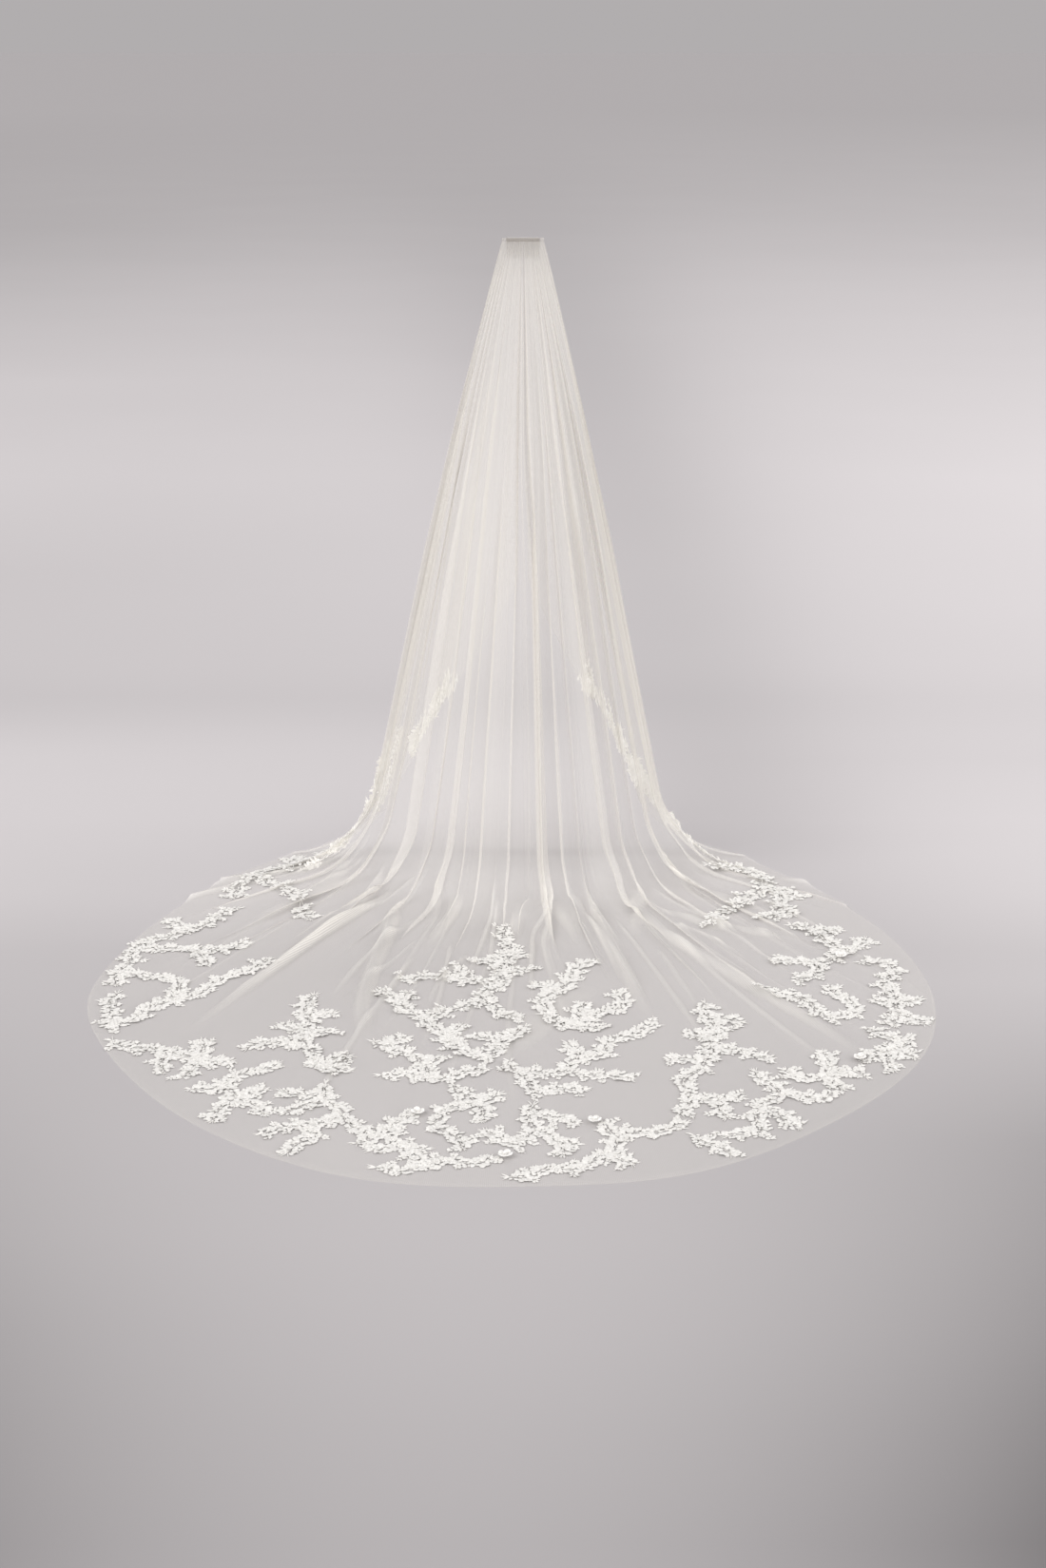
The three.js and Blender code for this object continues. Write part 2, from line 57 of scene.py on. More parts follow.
eye = bpy.data.cameras.new("eye")
eye.sensor_fit = "VERTICAL"
eye.sensor_height = FILM_HIGH
eye.lens = FILM_HIGH * FOCAL / PICTURE_HIGH
eye.clip_end = 400
viewpoint = bpy.data.objects.new("eye", eye)
viewpoint.location = (0, -EYE["back"], EYE["above_floor"] + FLOOR)
viewpoint.rotation_euler = (math.radians(90 - EYE["tilt_down"]), 0, 0)
scene.collection.objects.link(viewpoint)
scene.camera = viewpoint
scene.view_settings.view_transform = "Standard"
scene.cycles.transparent_max_bounces = 64  # the net is seen through many layers


# Studio. A seamless pale grey paper floor runs out of sight behind the veil, and large soft lights stand
# to the front left, front right and behind, so that nothing throws a hard shadow. The paper's grey carries
# painted light and shade: soft pools of light and the veil's soft shadows.
class Tone:
    """The output of a material's node. Sums and products of tones add Math nodes."""

    def __init__(self, tree, socket=None):
        self.tree = tree
        self.socket = socket

    def node(self, kind, settings, sockets, out=0):
        """A node of that kind, its settings made first, then its sockets' values or links."""
        made = self.tree.nodes.new("ShaderNode" + kind)
        for name, value in settings.items():
            if name == "stops":
                stops = made.color_ramp.elements
                while len(stops) < len(value):
                    stops.new(1.0)
                for stop, (place, colour) in zip(stops, value):
                    stop.position = place
                    stop.color = (*colour, 1.0)
            else:
                setattr(made, name, value)
        for key, value in sockets.items():
            if isinstance(value, Tone):
                self.tree.links.new(value.socket, made.inputs[key])
            else:
                made.inputs[key].default_value = value
        return Tone(self.tree, made.outputs[out])

    def to(self, socket):
        self.tree.links.new(self.socket, socket)

    def maths(self, operation, first, second):
        return self.node("Math", {"operation": operation}, {0: first, 1: second})

    def __add__(self, other):
        return self.maths("ADD", self, other)

    def __radd__(self, other):
        return self.maths("ADD", other, self)

    def __sub__(self, other):
        return self.maths("SUBTRACT", self, other)

    def __rsub__(self, other):
        return self.maths("SUBTRACT", other, self)

    def __mul__(self, other):
        return self.maths("MULTIPLY", self, other)

    def __rmul__(self, other):
        return self.maths("MULTIPLY", other, self)

    def __truediv__(self, other):
        return self.maths("DIVIDE", self, other)

    def __rtruediv__(self, other):
        return self.maths("DIVIDE", other, self)


def finish_called(name, **constants):
    """A new material with constants on its shader: the material, a tone to start from and its sockets."""
    material = bpy.data.materials.new(name)
    material.use_nodes = True
    tree = material.node_tree
    sockets = tree.nodes["Principled BSDF"].inputs
    for key, value in constants.items():
        sockets[key.replace("_", " ")].default_value = value
    return material, Tone(tree), sockets


def blended(start, low, high, share):
    """Two colours mixed by a tone."""
    return start.node(
        "Mix", {"data_type": "RGBA", "clamp_factor": True}, {0: share, 6: (*low, 1), 7: (*high, 1)}, out=2
    )


def mesh_object(name, points, faces, material, smooth=True):
    mesh = bpy.data.meshes.new(name)
    mesh.from_pydata(np.asarray(points).tolist(), [], [tuple(face) for face in faces])
    mesh.polygons.foreach_set("use_smooth", np.full(len(mesh.polygons), smooth))
    mesh.materials.append(material)
    made = bpy.data.objects.new(name, mesh)
    scene.collection.objects.link(made)
    return made


def bell(start, gap):
    """A tone of 1 where the gap is 0, falling off smoothly to both sides."""
    return start.maths("EXPONENT", gap * gap * -1.0, 0.0)


PAPER_REACH = 260.0
WHITE_PAPER = 1.165  # how bright white paper would be in this light
PAPER_STEEPEST = 1.6  # the last slope of the two lists below
PAPER_PAINTED_LIGHT = [
    # slope of the line from the paper up to the viewpoint, and the paper's grey there, painted light and
    # shade
    (0.0, 0.44),
    (0.03, 0.442),
    (0.065, 0.47),
    (0.107, 0.56),
    (0.15, 0.63),
    (0.193, 0.66),
    (0.238, 0.65),
    (0.285, 0.635),
    (0.302, 0.615),
    (0.323, 0.66),
    (0.345, 0.68),
    (0.362, 0.68),
    (0.402, 0.60),
    (0.433, 0.545),
    (0.539, 0.555),
    (0.595, 0.545),
    (0.652, 0.52),
    (0.712, 0.485),
    (0.786, 0.455),
    (1.5, 0.44),
]
PAPER_PAINTED_ASIDE = [
    # the same slope, then painted light and shade: how much brighter it gets to the right, how much brighter
    # away from the middle, and how much darker in the veil's painted soft shadow
    (0.0, 0.0, 0.0, 0.0),
    (0.03, 0.42, -0.5, 0.0),
    (0.065, 0.42, 0.4, 0.06),
    (0.08, 0.45, -0.6, 0.09),
    (0.107, 0.40, 0.0, 0.14),
    (0.15, 0.28, 0.5, 0.18),
    (0.193, 0.33, 0.8, 0.18),
    (0.238, 0.44, 0.2, 0.15),
    (0.302, 0.36, 0.3, 0.13),
    (0.33, 0.1, 0.2, 0.13),
    (0.365, 0.2, 0.2, 0.11),
    (0.402, 0.2, 1.4, 0.08),
    (0.45, 0.2, 0.6, 0.0),
    (0.54, -0.24, -3.4, 0.0),
    (0.652, -0.25, -5.0, 0.0),
    (0.786, -0.5, -6.4, 0.0),
    (1.5, 0.0, 0.0, 0.0),
]
VEIL_SHADOW = {"slant": 0.36, "left": 0.027, "wide": 0.06}
FOOT_PAINTED_SHADOWS = [
    # painted soft shadows across the paper under the veil's foot: how far back, how dark, half width
    (1.7, 0.08, 0.9),
    (0.4, 0.11, 0.035),
    (0.32, 0.07, 0.07),
    (0.0, 0.1, 0.09),
    (-0.16, 0.05, 0.06),
]
FOOT_WIDE = 0.36
PICTURE_ASIDE = 0.25  # slope to either side that the picture reaches
FADE = {"aside": 0.7, "from": 14.0, "over": 46.0}  # from the painted paper to a plain one, beside and afar
CLOUDS = {"size": 0.55, "least": 0.98, "more": 0.04}
CODED = {"most": 10, "span": 20}  # slopes from -10 to 10 are kept as colours from 0 to 1
ROOM_GREY = 0.44
FAR_PAPER = 0.43  # as bright, once lit, as the room beyond it
PAPER_TINT = (1.0, 0.96, 0.97)


def paper_finish():
    """Paper with painted light and shade: greys that follow the slope of the line of sight from the
    viewpoint, softly clouded.
    """
    material, start, sockets = finish_called("paper", Roughness=0.9, Specular_IOR_Level=0.0)
    place = start.node("TexCoord", {}, {}, out=3)
    across = start.node("SeparateXYZ", {}, {0: place}, out=0)
    behind = start.node("SeparateXYZ", {}, {0: place}, out=1)
    away = start.maths("MAXIMUM", behind + EYE["back"], EYE["above_floor"] / PAPER_STEEPEST)
    share = EYE["above_floor"] / PAPER_STEEPEST / away
    greys = [(at / PAPER_STEEPEST, (grey, grey, grey)) for at, grey in PAPER_PAINTED_LIGHT]
    slopes = []
    for at, right, out, dark in PAPER_PAINTED_ASIDE:
        coded = ((right + CODED["most"]) / CODED["span"], (out + CODED["most"]) / CODED["span"], dark)
        slopes.append((at / PAPER_STEEPEST, coded))
    # painted light and shade: the paper's grey by slope, how it brightens aside and darkens in the veil's
    # shadow
    painted_light_grey = start.node("ValToRGB", {"stops": greys}, {0: share})
    painted_aside = start.node("ValToRGB", {"stops": slopes}, {0: share})
    right = start.node("SeparateColor", {}, {0: painted_aside}, out=0) * CODED["span"] - CODED["most"]
    out = start.node("SeparateColor", {}, {0: painted_aside}, out=1) * CODED["span"] - CODED["most"]
    dark = start.node("SeparateColor", {}, {0: painted_aside}, out=2)

    tilt = math.radians(EYE["tilt_down"])
    sideways = across / (away * math.cos(tilt) + EYE["above_floor"] * math.sin(tilt))
    aside = start.node("Clamp", {}, {0: sideways, 1: -PICTURE_ASIDE, 2: PICTURE_ASIDE})
    past_edge = start.maths("ABSOLUTE", sideways, 0.0) - PICTURE_ASIDE
    beyond = start.node("Clamp", {}, {0: past_edge / FADE["aside"]})
    slanted = share * (PAPER_STEEPEST * VEIL_SHADOW["slant"])
    # painted shadow of the veil on the paper, just to its right
    shadow = dark * bell(start, (aside - slanted + VEIL_SHADOW["left"]) / VEIL_SHADOW["wide"])
    clouds = start.node("TexNoise", {}, {"Vector": place, "Scale": CLOUDS["size"], "Detail": 2.0})
    soft = clouds * CLOUDS["more"] + CLOUDS["least"]
    grey = painted_light_grey * (1.0 + (right + out * aside) * aside * (1.0 - beyond)) * (1.0 - shadow) * soft

    # painted soft shadows under the veil's foot, across the middle of the paper
    under = bell(start, across / FOOT_WIDE)
    for back, depth, half in FOOT_PAINTED_SHADOWS:
        grey = grey * (1.0 - under * bell(start, (behind - back) / half) * depth)
    distance = start.node("VectorMath", {"operation": "LENGTH"}, {0: place}, out=1)
    far = start.node("Clamp", {}, {0: (distance - FADE["from"]) / FADE["over"]})
    grey = (grey * (1.0 - far) + far * FAR_PAPER) / WHITE_PAPER
    tinted = start.node("VectorMath", {"operation": "MULTIPLY"}, {0: grey, 1: PAPER_TINT})
    tinted.to(sockets["Base Color"])
    return material


paper = mesh_object(
    "paper_floor",
    [(-PAPER_REACH, -PAPER_REACH, FLOOR), (PAPER_REACH, -PAPER_REACH, FLOOR),
     (PAPER_REACH, PAPER_REACH, FLOOR), (-PAPER_REACH, PAPER_REACH, FLOOR)],
    [(0, 1, 2, 3)],
    paper_finish(),
)

room = bpy.data.worlds.new("room")
room.use_nodes = True
room.node_tree.nodes["Background"].inputs["Color"].default_value = (
    *(ROOM_GREY * part for part in PAPER_TINT), 1
)
scene.world = room

LIGHTS = [
    # name, how high and how far round from the front it stands in degrees, strength, spread in degrees
    ("key", 38, -42, 2.0, 45),
    ("fill", 34, 48, 1.45, 60),
    ("back", 45, 165, 0.5, 60),
]
for name, high, around, strength, spread in LIGHTS:
    lamp = bpy.data.lights.new(name, "SUN")
    lamp.energy = strength
    lamp.angle = math.radians(spread)
    lit = bpy.data.objects.new(name, lamp)
    lit.rotation_euler = (math.radians(90 - high), 0, math.radians(around))
    scene.collection.objects.link(lit)


# Comb. A pressed metal hair comb, whose spine and teeth show grey through the net that is sewn over it.
# The metal is finely brushed, and worn brighter in some patches than in others.
def comb_finish():
    material, start, sockets = finish_called("comb_metal", Metallic=1.0)
    place = start.node("TexCoord", {}, {}, out=3)
    brushed = start.node("TexNoise", {}, {"Vector": place, "Scale": 900.0})
    worn = start.node("TexNoise", {}, {"Vector": place, "Scale": 60.0, "Detail": 3.0})
    blended(start, (0.34, 0.305, 0.275), (0.56, 0.51, 0.47), worn).to(sockets["Base Color"])
    (0.28 + brushed * 0.2).to(sockets["Roughness"])
    start.node("Bump", {}, {"Height": brushed, "Strength": 0.15, "Distance": 0.0002}).to(sockets["Normal"])
    return material


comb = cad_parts["comb"]
comb.data.materials.clear()
comb.data.materials.append(comb_finish())


# Heading. The top edge of the net is gathered tight, rolled over and stitched twice round, and the comb's
# spine is sewn into the middle of it with a whip stitch between every two teeth.
HEADING = {"width": 0.097, "depth": 0.011, "height": 0.006}
SPINE = {"width": 0.076, "slot": 0.0036, "teeth": 20}
SLOT_CLEAR = 0.0006
GATHERS = 84
GATHER_DEEP = 0.0005
GATHER_HIGH = 0.0002
ROLL_SECTION = [
    # once round the roll's wall: how far in from its outside, and how high, as shares
    (0.0, 0.0), (0.0, 0.3), (0.0, 0.62), (0.0, 0.9), (0.22, 1.0), (0.5, 1.03), (0.8, 0.98), (1.0, 0.85),
    (1.0, 0.4), (1.0, 0.0),
]
STITCH = {"radius": 0.00035, "long": 0.0026, "pitch": 0.0043, "rows": (-0.0019, -0.0044)}
STITCH_SUNK = (0.0008, 0.0004, 0.0002, 0.0004, 0.0008)  # along one stitch, ends and middle
STITCH_PULL = {"deep": 0.0004, "wide": 0.0005}
WHIP = {"radius": 0.00055, "aside": 0.0009, "out": 0.0031, "middle": -0.0012, "high": 0.0019}


def loop_round(share, depth):
    """Points, and the directions outwards, round a flat loop as deep as depth: share goes once round it."""
    radius = depth / 2
    straight = HEADING["width"] - HEADING["depth"]
    around = 2 * straight + math.pi * depth
    run = (share % 1.0) * around
    turn_right = np.clip((run - straight) / (math.pi * radius), 0, 1) * math.pi
    turn_left = np.clip((run - 2 * straight - math.pi * radius) / (math.pi * radius), 0, 1) * math.pi
    angle = -math.pi / 2 + turn_right + turn_left
    x = np.where(run < straight, run - straight / 2, straight / 2)
    back = run - straight - math.pi * radius
    x = np.where(back > 0, straight / 2 - np.clip(back, 0, straight), x)
    outward = np.stack([np.cos(angle), np.sin(angle)], -1)
    ends = np.stack([x, np.zeros_like(x)], -1)
    return ends + outward * radius, outward


def tube(path, radius, sides=6):
    """Points and faces of a closed round tube along a path."""
    path = np.asarray(path, float)
    along = np.gradient(path, axis=0)
    along /= np.linalg.norm(along, axis=1, keepdims=True)
    aside = np.cross(along, (0.0, 0.0, 1.0))
    aside[np.linalg.norm(aside, axis=1) < 1e-3] = (1.0, 0.0, 0.0)
    aside /= np.linalg.norm(aside, axis=1, keepdims=True)
    up = np.cross(aside, along)
    angle = np.linspace(0, 2 * math.pi, sides, endpoint=False)
    ring = aside[:, None] * np.cos(angle)[None, :, None] + up[:, None] * np.sin(angle)[None, :, None]
    points = (path[:, None] + ring * radius).reshape(-1, 3)
    faces = []
    for k in range(len(path) - 1):
        for side in range(sides):
            a, b = k * sides + side, k * sides + (side + 1) % sides
            faces.append((a, b, b + sides, a + sides))
    faces.append(tuple(range(sides))[::-1])
    faces.append(tuple((len(path) - 1) * sides + side for side in range(sides)))
    return points, faces


def joined(parts):
    """One set of points and faces from several."""
    points = []
    faces = []
    count = 0
    for some, their_faces in parts:
        points.append(some)
        faces += [tuple(n + count for n in face) for face in their_faces]
        count += len(some)
    return np.concatenate(points), faces


def heading_roll():
    """The gathered roll: points and faces of a flat ring, pulled in along the rows of stitches."""
    across = 6 * GATHERS
    share = np.arange(across) / across
    inner_depth = SPINE["slot"] + SLOT_CLEAR
    wall = (HEADING["depth"] - inner_depth) / 2
    outline, outward = loop_round(share, HEADING["depth"])
    drift = 0.35 * np.sin(2 * math.pi * 7 * share + 1.0) + 0.25 * np.sin(2 * math.pi * 13 * share + 2.6)
    gather = np.cos(2 * math.pi * GATHERS * share + 2.0 * drift)
    rings = []
    for inward, high in ROLL_SECTION:
        level = (high - 1) * HEADING["height"]
        pull = sum(math.exp(-(((level - row) / STITCH_PULL["wide"]) ** 2)) for row in STITCH["rows"])
        depth = inward * wall + STITCH_PULL["deep"] * pull * (inward == 0)
        wave = GATHER_DEEP * gather * (1.0 if inward == 0 else 0.5)
        place = outline - outward * (depth + GATHER_DEEP - wave)[:, None]
        height = level + GATHER_HIGH * gather * (high > 0.95)
        rings.append(np.column_stack([place, np.broadcast_to(height, across)]))
    points = np.concatenate(rings)
    faces = []
    for ring in range(len(rings)):
        below, above = ring * across, ((ring + 1) % len(rings)) * across
        for n in range(across):
            m = (n + 1) % across
            faces.append((below + n, below + m, above + m, above + n))
    return points, faces


def heading_stitches():
    """Running stitches round the roll, and whip stitches over the comb's spine."""
    parts = []
    around = 2 * (HEADING["width"] - HEADING["depth"]) + math.pi * HEADING["depth"]
    for row in STITCH["rows"]:
        for k in range(int(around / STITCH["pitch"])):
            middle = k * STITCH["pitch"] / around
            share = middle + np.linspace(-0.5, 0.5, len(STITCH_SUNK)) * STITCH["long"] / around
            place, outward = loop_round(share, HEADING["depth"])
            sunk = np.array(STITCH_SUNK)
            path = np.column_stack([place - outward * sunk[:, None], np.full(len(sunk), row)])
            parts.append(tube(path, STITCH["radius"]))
    pitch = SPINE["width"] / SPINE["teeth"]
    for k in range(SPINE["teeth"] - 1):
        x = (k - SPINE["teeth"] / 2 + 1) * pitch
        swing = np.linspace(0, math.pi, 9)
        across = np.cos(swing)
        high = WHIP["middle"] + WHIP["high"] * np.sin(swing)
        path = np.column_stack([x + WHIP["aside"] * across, -WHIP["out"] * across, high])
        parts.append(tube(path, WHIP["radius"]))
    return joined(parts)


def thread_finish(name, low, high, cover=1.0):
    """Twisted sewing thread, or net pressed as tight as thread, with cover the share of it that hides."""
    material, start, sockets = finish_called(name, Roughness=0.75, Sheen_Weight=0.2, Alpha=cover)
    place = start.node("TexCoord", {}, {}, out=3)
    twist = start.node("TexNoise", {}, {"Vector": place, "Scale": 1500.0, "Detail": 2.0})
    shaded = start.node("TexNoise", {}, {"Vector": place, "Scale": 120.0, "Detail": 2.0})
    blended(start, low, high, shaded * 0.6 + twist * 0.4).to(sockets["Base Color"])
    start.node("Bump", {}, {"Height": twist, "Strength": 0.4, "Distance": 0.0003}).to(sockets["Normal"])
    return material


# painted shade: these colours are far greyer than the net's own, for the shade in the hollows of the tight
# gathers
pressed_net_painted_shade = thread_finish("gathered_net_painted_shade", (0.60, 0.57, 0.53), (0.78, 0.75, 0.71), cover=0.2)
roll = mesh_object("heading_roll", *heading_roll(), pressed_net_painted_shade)
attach(roll, "root")
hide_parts("heading")

thread = thread_finish("thread", (0.72, 0.70, 0.66), (0.84, 0.82, 0.78))
stitches = mesh_object("heading_stitches", *heading_stitches(), thread)
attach(stitches, "root")


# Net. One cut of fine bobbin net, 2.74 m wide and 3.05 m long with its lower corners rounded off. It
# hangs from the heading in soft pleats, bends where it meets the floor and spreads over it.
NET_FLAT = {"width": 2.74, "length": 3.05, "area": 7.15}
HALF_WIDTH = NET_FLAT["width"] / MM / 2
GROUND = -DROP / MM  # height of the floor in millimetres, as all the net's own measures are
NET_THICK = 1.0
TURN = 0.83  # share of the net, from its middle, at which it turns round to the back
BACK_GAP = 3  # half the gap between the side edges behind the heading
SWELL = 0.25  # how far the hang bows to the sides, against how far it bows forwards
HEADING_GAP = 0.3  # below the heading
BEND_WITHIN = (0.7, 0.86)  # shares of a short column's length that its bend stays within

COLUMN_NAMES = ("share", "foot_x", "foot_y", "heading", "run", "bend")
COLUMNS = [
    # from the net's left edge to its right edge, in millimetres and degrees: the share of the width, where
    # the column's foot meets the floor, which way it goes on along the floor, how far it runs beyond its
    # foot (below zero it ends above it), and how long its bend is
    (-1.0, -20, 112, -140, -842, 200),
    (-0.95, -215, 232, -130, -590, 210),
    (-0.9, -350, 338, -120, -335, 230),
    (-0.85, -420, 392, -100, 70, 230),
    (-0.8, -432, 385, -72, 283, 220),
    (-0.74, -435, 355, -56, 487, 210),
    (-0.66, -415, 310, -46, 739, 200),
    (-0.56, -375, 245, -38, 1008, 180),
    (-0.44, -308, 172, -28.6, 1190, 160),
    (-0.3, -215, 92, -18.4, 1344, 150),
    (-0.15, -110, 25, -9, 1417, 140),
    (0, 0, -20, 0.6, 1388, 140),
    (0.15, 110, 22, 9.5, 1394, 140),
    (0.3, 212, 88, 19.6, 1295, 150),
    (0.44, 298, 162, 28.8, 1164, 160),
    (0.56, 350, 240, 36.4, 994, 180),
    (0.66, 380, 308, 44.5, 757, 200),
    (0.74, 396, 358, 53, 505, 210),
    (0.8, 393, 390, 66, 284, 220),
    (0.85, 378, 398, 98, 70, 230),
    (0.9, 310, 342, 120, -335, 230),
    (0.95, 192, 236, 130, -590, 210),
    (1.0, 25, 112, 140, -842, 200),
]

LONG_FOLDS = [
    # folds lying on the floor, from the foot outwards: the path of each ridge in plan, its height at the
    # foot and its half width
    ([(-175, 230), (-145, 115), (-170, -25), (-240, -275)], 30, 11),
    ([(-10, 5), (-15, -95), (-22, -190)], 22, 10),
    ([(80, 155), (105, -25), (130, -195), (150, -260)], 26, 10),
    ([(160, 115), (180, -60), (215, -260), (265, -540), (295, -685)], 30, 12),
    ([(-285, 115), (-325, -130), (-355, -415), (-365, -580), (-345, -840)], 34, 13),
    ([(-360, 190), (-400, 45), (-460, -60)], 22, 10),
    ([(-295, 165), (-510, -215), (-640, -495), (-770, -770)], 26, 9),
    ([(220, 165), (350, -185), (530, -495), (675, -720), (790, -930)], 30, 13),
    ([(250, 230), (285, 65), (275, -215)], 18, 9),
    ([(335, 0), (470, -125), (695, -215)], 20, 14),
    ([(-45, -875), (50, -645), (180, -440)], 9, 26),
    ([(-420, 300), (-560, 60), (-700, -140)], 20, 14),
    ([(360, 260), (480, 90), (640, -40)], 18, 14),
]

GRID = {"across": 900, "hang": 34, "bend": 18, "floor": 52}


def between(name, share):
    """A smooth value of one named quantity between the rows of COLUMNS."""
    rows = np.array(COLUMNS, float)
    at = rows[:, 0]
    value = rows[:, COLUMN_NAMES.index(name)]
    low = np.maximum(np.arange(len(at)) - 1, 0)
    high = np.minimum(np.arange(len(at)) + 1, len(at) - 1)
    slope = (value[high] - value[low]) / (at[high] - at[low])
    k = np.clip(np.searchsorted(at, share, side="right") - 1, 0, len(at) - 2)
    span = at[k + 1] - at[k]
    t = np.clip((share - at[k]) / span, 0, 1)
    start = value[k] * (1 + 2 * t) * (1 - t) ** 2 + slope[k] * span * t * (1 - t) ** 2
    return start + value[k + 1] * t * t * (3 - 2 * t) - slope[k + 1] * span * t * t * (1 - t)


def gather_point(share):
    """Where a column leaves the heading: a flat loop, its front outwards and its side edges behind."""
    half = HEADING["width"] / MM / 2 - NET_THICK / 2
    deep = HEADING["depth"] / MM / 2 - NET_THICK / 2
    away = np.abs(share)
    across = away / TURN
    back = (away - TURN) / (1 - TURN)
    x = np.where(away < TURN, half * across, half + (BACK_GAP - half) * back) * np.sign(share)
    y = np.where(away < TURN, -deep * (1 - across**6), deep * (1 - (1 - back) ** 6))
    return np.stack([x, y, np.full_like(x, -HEADING["height"] / MM - HEADING_GAP)], -1)


def smoothstep(value, low, high):
    """From 0 at low to 1 at high, easing at both ends."""
    t = np.clip((value - low) / (high - low), 0, 1)
    return t * t * (3 - 2 * t)


class Columns:
    """The lie of the net's columns, as arrays over their shares, in millimetres."""

    def __init__(self, share):
        self.share = share
        self.top = gather_point(share)
        foot = [between("foot_x", share), between("foot_y", share)]
        self.foot = np.stack([*foot, np.full_like(share, GROUND + NET_THICK / 2)], -1)
        turn = np.radians(between("heading", share))
        self.hang = np.linalg.norm(self.foot - self.top, axis=-1)
        self.length = self.hang + between("run", share)
        self.bend = between("bend", share)
        self.down = (self.foot - self.top) / self.hang[:, None]
        self.along = np.stack([np.sin(turn), -np.cos(turn), np.zeros_like(turn)], -1)
        self.bend_from = np.minimum(self.hang - self.bend, self.length * BEND_WITHIN[0])
        self.bend_to = np.minimum(self.hang + self.bend, self.length * BEND_WITHIN[1])

    def rows(self):
        """Length along each column at each row: down the hang, round the bend and over the floor."""
        hang = np.linspace(0, 1, GRID["hang"], endpoint=False)[:, None]
        bend = np.linspace(0, 1, GRID["bend"], endpoint=False)[:, None]
        floor = np.linspace(0, 1, GRID["floor"] + 1)[:, None]
        return np.concatenate([
            hang * self.bend_from,
            self.bend_from + (self.bend_to - self.bend_from) * bend,
            self.bend_to + (self.length - self.bend_to) * floor,
        ])

    def lie(self, s):
        """Points of the smooth net at lengths s, one row of them or several."""
        far = s[..., None]
        ease = np.minimum(s / self.hang, 1)
        ease = ease * (1 - ease) ** 3
        reach = self.foot - self.top
        held = np.stack([SWELL * ease * reach[:, 0], -ease * reach[:, 1], np.zeros_like(ease)], -1)
        straight = held + self.top + self.down * far
        flat = self.foot + self.along * (far - self.hang[:, None])
        t = np.clip((s - self.hang + self.bend) / (2 * self.bend), 0, 1)[..., None]
        bent = held + self.foot - self.down * self.bend[:, None] * (1 - t) ** 2
        bent = bent + self.along * self.bend[:, None] * t * t
        lying = np.where((s >= self.hang + self.bend)[..., None], flat, bent)
        return np.where((s <= self.hang - self.bend)[..., None], straight, lying)


def unit(vectors):
    return vectors / np.maximum(np.linalg.norm(vectors, axis=-1, keepdims=True), 1e-9)


def facing(points):
    """Outward normals of a grid of points."""
    return unit(np.cross(np.gradient(points, axis=0), np.gradient(points, axis=1)))


def nearest_on(path, x, y):
    """Distance of plan points from a path, and how far along it they lie, from 0 to 1."""
    best = np.full(x.shape, 1e9)
    along = np.zeros(x.shape)
    legs = [math.dist(a, b) for a, b in zip(path, path[1:])]
    walked = 0.0
    for (ax, ay), (bx, by), leg in zip(path, path[1:], legs):
        t = np.clip(((x - ax) * (bx - ax) + (y - ay) * (by - ay)) / leg**2, 0, 1)
        gap = np.hypot(x - ax - t * (bx - ax), y - ay - t * (by - ay))
        closer = gap < best
        best = np.where(closer, gap, best)
        along = np.where(closer, (walked + t * leg) / sum(legs), along)
        walked += leg
    return best, along


PLEATS = 20
FINE_PLEATS = 54
THREAD_PLEATS = 132
PLEAT_DEEP = {"top": 1.0, "full": 17.0, "full_at": 760.0, "fade": 150.0}
LAPPED_FOLDS = [
    # broad folds that lap over: the share they lie at, their half width in shares, how far they lap (over
    # one), which way, where they start below the comb and how far they run on over the floor
    (-0.93, 0.020, 2.2, 1, 60, 160),
    (-0.86, 0.024, 2.0, -1, 200, 260),
    (-0.77, 0.022, 2.6, 1, 20, 520),
    (-0.67, 0.030, 2.0, -1, 60, 760),
    (-0.57, 0.026, 2.4, 1, 330, 980),
    (-0.46, 0.014, 2.8, 1, 60, 700),
    (-0.37, 0.030, 1.8, 1, 300, 640),
    (-0.28, 0.024, 2.4, -1, 30, 420),
    (-0.05, 0.010, 2.2, -1, 150, 200),
    (0.075, 0.045, 1.8, 1, 400, 330),
    (0.17, 0.012, 2.6, -1, 50, 640),
    (0.31, 0.020, 2.3, 1, 380, 420),
    (0.39, 0.030, 2.0, -1, 520, 900),
    (0.48, 0.014, 2.8, -1, 30, 560),
    (0.57, 0.030, 2.2, -1, 200, 1050),
    (0.68, 0.024, 2.4, 1, 160, 640),
    (0.76, 0.024, 2.6, 1, 20, 460),
    (0.87, 0.022, 2.0, 1, 180, 240),
    (0.93, 0.018, 2.2, -1, 60, 160),
]
# Ranges to draw from: widths, places and leans as shares of the net's half width, the rest in millimetres.
NARROW = {"count": 20, "within": 0.95, "wide": (0.004, 0.009), "lap": (1.8, 2.8), "first": (20, 700),
          "reach": (120, 900)}
THIN = {"count": 48, "lean": (-0.012, 0.012), "first": (-200, 900), "end": (-100, 500),
        "wide": (0.0028, 0.0045), "height": (0.6, 2.6)}
CREASE = {"count": 64, "place": (-0.78, 0.78), "reach": (260, 1050), "height": (3.0, 9.0),
          "wide": (0.0035, 0.007), "lean": (-0.05, 0.05), "bow": (-0.02, 0.02), "first": (-150, 350)}
LEAST_WIDE = 0.0032  # half width, in shares, of the sharpest fold that the grid can hold
LAP_DEEP = {"top": 3.0, "more": 6.0}
PRESSED = 0.2  # how much lower than half its thickness the net may lie on the floor
EVEN_OVER = 22  # columns of the grid to each side over which gathering is evened out


